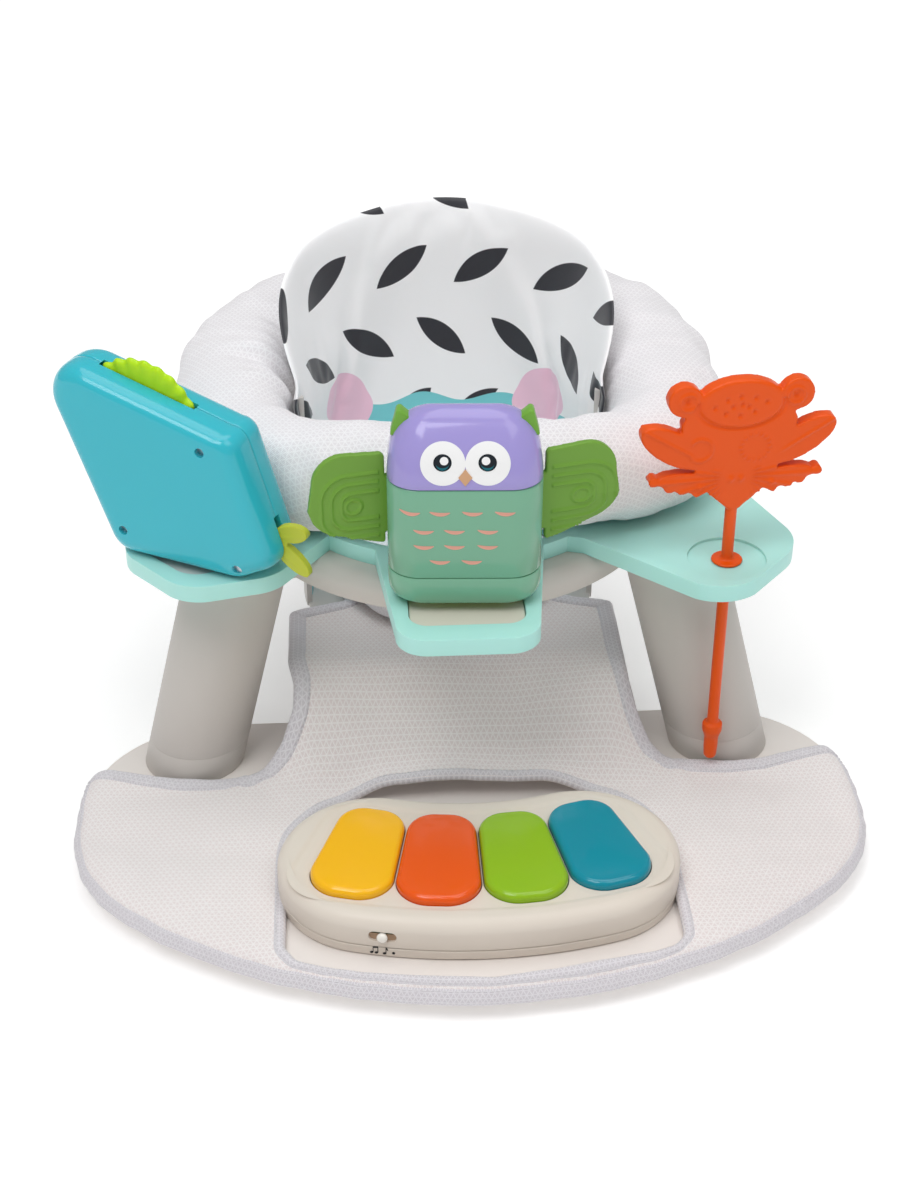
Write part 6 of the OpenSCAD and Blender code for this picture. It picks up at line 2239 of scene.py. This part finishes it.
@dataclass
class Frog:
    """The frog teether: one soft moulding of frog, stem, flange and bulb.

    Attributes:
        place: where its stem passes the tray, from the ring's axis.
        yaw: its turn in degrees.
        base: height of its foot.
    """

    place: Point = (175.0, -137.0)
    yaw: float = 6.0
    base: float = 199.0

    def local(self, p: Vector) -> tuple[float, float]:
        """Across and up the frog's face, in millimetres, of a point of the part."""
        dx = p.x / MM + PLATE_X - self.place[0]
        dy = p.y / MM - RING_Y - self.place[1]
        a = math.radians(self.yaw)
        return dx * math.cos(a) + dy * math.sin(a), p.z / MM - self.base

    def relief(self, p: Vector, n: Vector) -> float:
        """Height of the moulded lines at a point."""
        a = math.radians(self.yaw)
        facing = abs(-n.x * math.sin(a) + n.y * math.cos(a))
        x, h = self.local(p)
        if facing < 0.55 or h < 52:
            return 0.0

        def ridge(far: float, wide: float, high: float) -> float:
            """Height of a soft line at a distance from its middle."""
            return 1.9 * high * math.exp(-(far / (1.35 * wide)) ** 2)

        side = abs(x)
        cheek = math.hypot(x / 28.5, (h - 118) / 17)
        head = 1.0 - ease(cheek, 0.86, 1.02)
        total = 0.9 * head if h > 95 else 0.0
        total += ridge((cheek - 1.0) * 17, 0.8, -0.6) if h < 121 else 0.0
        total += ridge(math.hypot(side - 34.8, h - 121.5) - 5.6, 0.8, 0.6)
        total += ridge(math.hypot(side - 35.2, h - 122), 1.3, -0.9)
        spots = ((-17.5, 116.6), (-9.5, 121.6), (-10.3, 112.0), (-5.7, 116.7), (-1.0, 123.6), (0.3, 118.0),
                 (-0.8, 110.0), (4.3, 116.1), (8.6, 122.1), (8.6, 112.3), (16.2, 118.9))
        for u, v in spots:
            total += ridge(math.hypot(x - u, h - v), 0.95, -0.8)
        total += ridge(math.hypot(x + 25, h - 87) - 7.8, 0.8, 0.55) if x > -31 else 0.0
        turn = math.atan2(h - 86.5, x - 11)
        total += ridge(math.hypot(x - 11, h - 86.5) - 9.4, 0.9, 0.6) * max(0.0, math.cos(turn * 16))
        lean = math.radians(32)
        shoulder = (h - 92) * math.cos(lean) - (side - 44) * math.sin(lean)
        total += ridge(shoulder, 0.8, 0.5) * ease(side, 24, 34)
        if h < 72:
            ray = math.degrees(math.atan2(h - 66, side - 2))
            total += ease(side, 6, 14) * math.exp(-(((ray + 60) % 13 - 6.5) / 2.2) ** 2)
        total += ridge(math.hypot(side - 3.2, h - 64.5), 1.6, 0.9)
        total += ridge(math.hypot(side - 24, h - 61), 1.6, 0.9)
        return total

    def build(self, library: Library) -> None:
        """Mould and dress the frog."""
        frog = skinned(node_copy("frog_teether", "frog_teether_rubber"), 0.85, 7, 0.5)
        emboss(frog, self.relief)
        relaxed(frog, 1, 0.3)
        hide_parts("frog_teether")
        dress(frog, FROG_ORANGE.make(library), "frog")


# Carried-over parts ----------------------------------------------------------------------------


def dress_carried(library: Library) -> None:
    """Give the CAD parts that keep their own mesh their materials."""
    finishes = {
        DARK_RUBBER: ("base_feet",),
        STEEL: ("leg_screws", "frame_screws", "tub_screws", "tray_screws", "piano_screws",
                "battery_door_screw", "owl_wing_pins", "owl_screws", "fish_axle", "fish_tail_pin",
                "fish_screws"),
        SPRING: ("battery_contacts",),
        MEMBRANE: ("key_membrane",),
        BOARD_GREEN: ("circuit_board",),
        DARK_PLASTIC: ("speaker",),
        SWITCH_TAN: ("switch_body",),
        CELL_WRAP: ("batteries",),
        CASE_CREAM: ("battery_door",),
    }
    for finish, names in finishes.items():
        material = finish.make(library)
        for name in names:
            for slot in FRAME["nodes"][name].material_slots:
                slot.material = material


# Studio ----------------------------------------------------------------------------------------


@dataclass
class Studio:
    """Plain white studio: floor, lamps and the camera of the photograph.

    Attributes:
        target: point that the camera looks at, in millimetres.
        azimuth: camera's turn about the upright, in degrees.
        elevation: camera's height above the horizon, in degrees.
        distance: camera's distance, in millimetres.
        lens: focal length on a sensor 36 mm high.
    """

    target: tuple[float, float, float] = (-15.0, -176.0 + RING_Y, 200.0)
    azimuth: float = -3.3
    elevation: float = 33.0
    distance: float = 1300.0
    lens: float = 61.02

    def camera(self) -> None:
        """Set the camera up as in the photograph."""
        data = bpy.data.cameras.new("photo_camera")
        put(data, lens=self.lens, sensor_fit="VERTICAL", sensor_height=36.0, clip_start=0.02, clip_end=60.0)
        view = bpy.data.objects.new("photo_camera", data)
        bpy.context.scene.collection.objects.link(view)
        a, e = math.radians(self.azimuth), math.radians(self.elevation)
        back = Vector((math.sin(a) * math.cos(e), -math.cos(a) * math.cos(e), math.sin(e)))
        view.location = Vector(self.target) * MM + back * self.distance * MM
        view.rotation_euler = (-back).to_track_quat("-Z", "Y").to_euler()
        bpy.context.scene.camera = view

    def lamp(self, name: str, place: Point3, size: float, energy: float) -> None:
        """Hang a soft square lamp that points at the seat."""
        data = bpy.data.lights.new(name, "AREA")
        put(data, shape="SQUARE", size=size, energy=energy)
        light = bpy.data.objects.new(name, data)
        bpy.context.scene.collection.objects.link(light)
        light.location = place
        light.rotation_euler = (Vector((0, -0.05, 0.15)) - Vector(place)).to_track_quat("-Z", "Y").to_euler()

    def world(self, level: float) -> None:
        """White to the camera and through clear things, and an even grey light for everything else."""
        world = bpy.data.worlds.new("studio")
        world.use_nodes = True
        world.node_tree.nodes.clear()
        bench = NodeBench(world.node_tree)
        path = bench.add("ShaderNodeLightPath")
        seen = bench.math("MAXIMUM", path.outputs["Is Camera Ray"], path.outputs["Is Transmission Ray"])
        white, grey = bench.add("ShaderNodeBackground"), bench.add("ShaderNodeBackground")
        bench.fill(white, Strength=1.0, Color=(1, 1, 1, 1))
        bench.fill(grey, Strength=level, Color=(1, 1, 1, 1))
        mix = bench.add("ShaderNodeMixShader")
        bench.feed(mix.inputs[0], seen)
        bench.feed(mix.inputs[1], grey.outputs[0])
        bench.feed(mix.inputs[2], white.outputs[0])
        bench.feed(bench.add("ShaderNodeOutputWorld").inputs[0], mix.outputs[0])
        bpy.context.scene.world = world

    def floor(self, library: Library) -> None:
        """A wide pale floor that keeps the shadow."""
        half = 30.0
        corners = [Vector((x * half, y * half, 0.0)) for x, y in ((-1, -1), (1, -1), (1, 1), (-1, 1))]
        floor = build_piece("studio_floor", corners, [(0, 1, 2, 3)])
        face_up(floor)
        bench, shader = library.start("floor_white")
        spot = bench.add("ShaderNodeNewGeometry").outputs["Position"]
        away = bench.vector("LENGTH", bench.vector("SUBTRACT", spot, (0, -0.1, 0)))
        far = bench.ramp(away, 0.42, 0.85)
        tone = bench.mix(far, paint(250, 250, 250), paint(0, 0, 0))
        glow = bench.plus(0.22, bench.times(far, 0.85))
        bench.fill(shader, Base_Color=tone, Roughness=0.9, Emission_Color=(1, 1, 1, 1),
                   Emission_Strength=glow)
        floor.data.materials.append(library.made["floor_white"])

    def build(self, library: Library) -> None:
        """Set up the whole studio."""
        self.camera()
        self.world(0.40)
        self.lamp("key", (-0.7, -0.95, 2.3), 1.1, 20.0)
        self.lamp("fill", (0.9, -0.8, 2.2), 1.2, 9.0)
        self.lamp("top", (0.1, 0.4, 2.4), 1.4, 13.0)
        self.floor(library)
        bpy.context.scene.view_settings.view_transform = "Standard"


def main() -> None:
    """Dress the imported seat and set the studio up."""
    logging.basicConfig(level=logging.INFO, format="%(name)s: %(message)s")
    FRAME.update(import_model())
    library = Library()
    beads = RepeatTree("beads_along_paths")
    Frame().build(library)
    Tray().build(library)
    RingCover().build(library)
    BackPad().build(library)
    SeatCushion().build(library)
    Apron().build(library, beads)
    Piano().build(library)
    Owl().build(library)
    Fish().build(library)
    Frog().build(library)
    dress_carried(library)
    Studio().build(library)


if __name__ == "__main__":
    main()
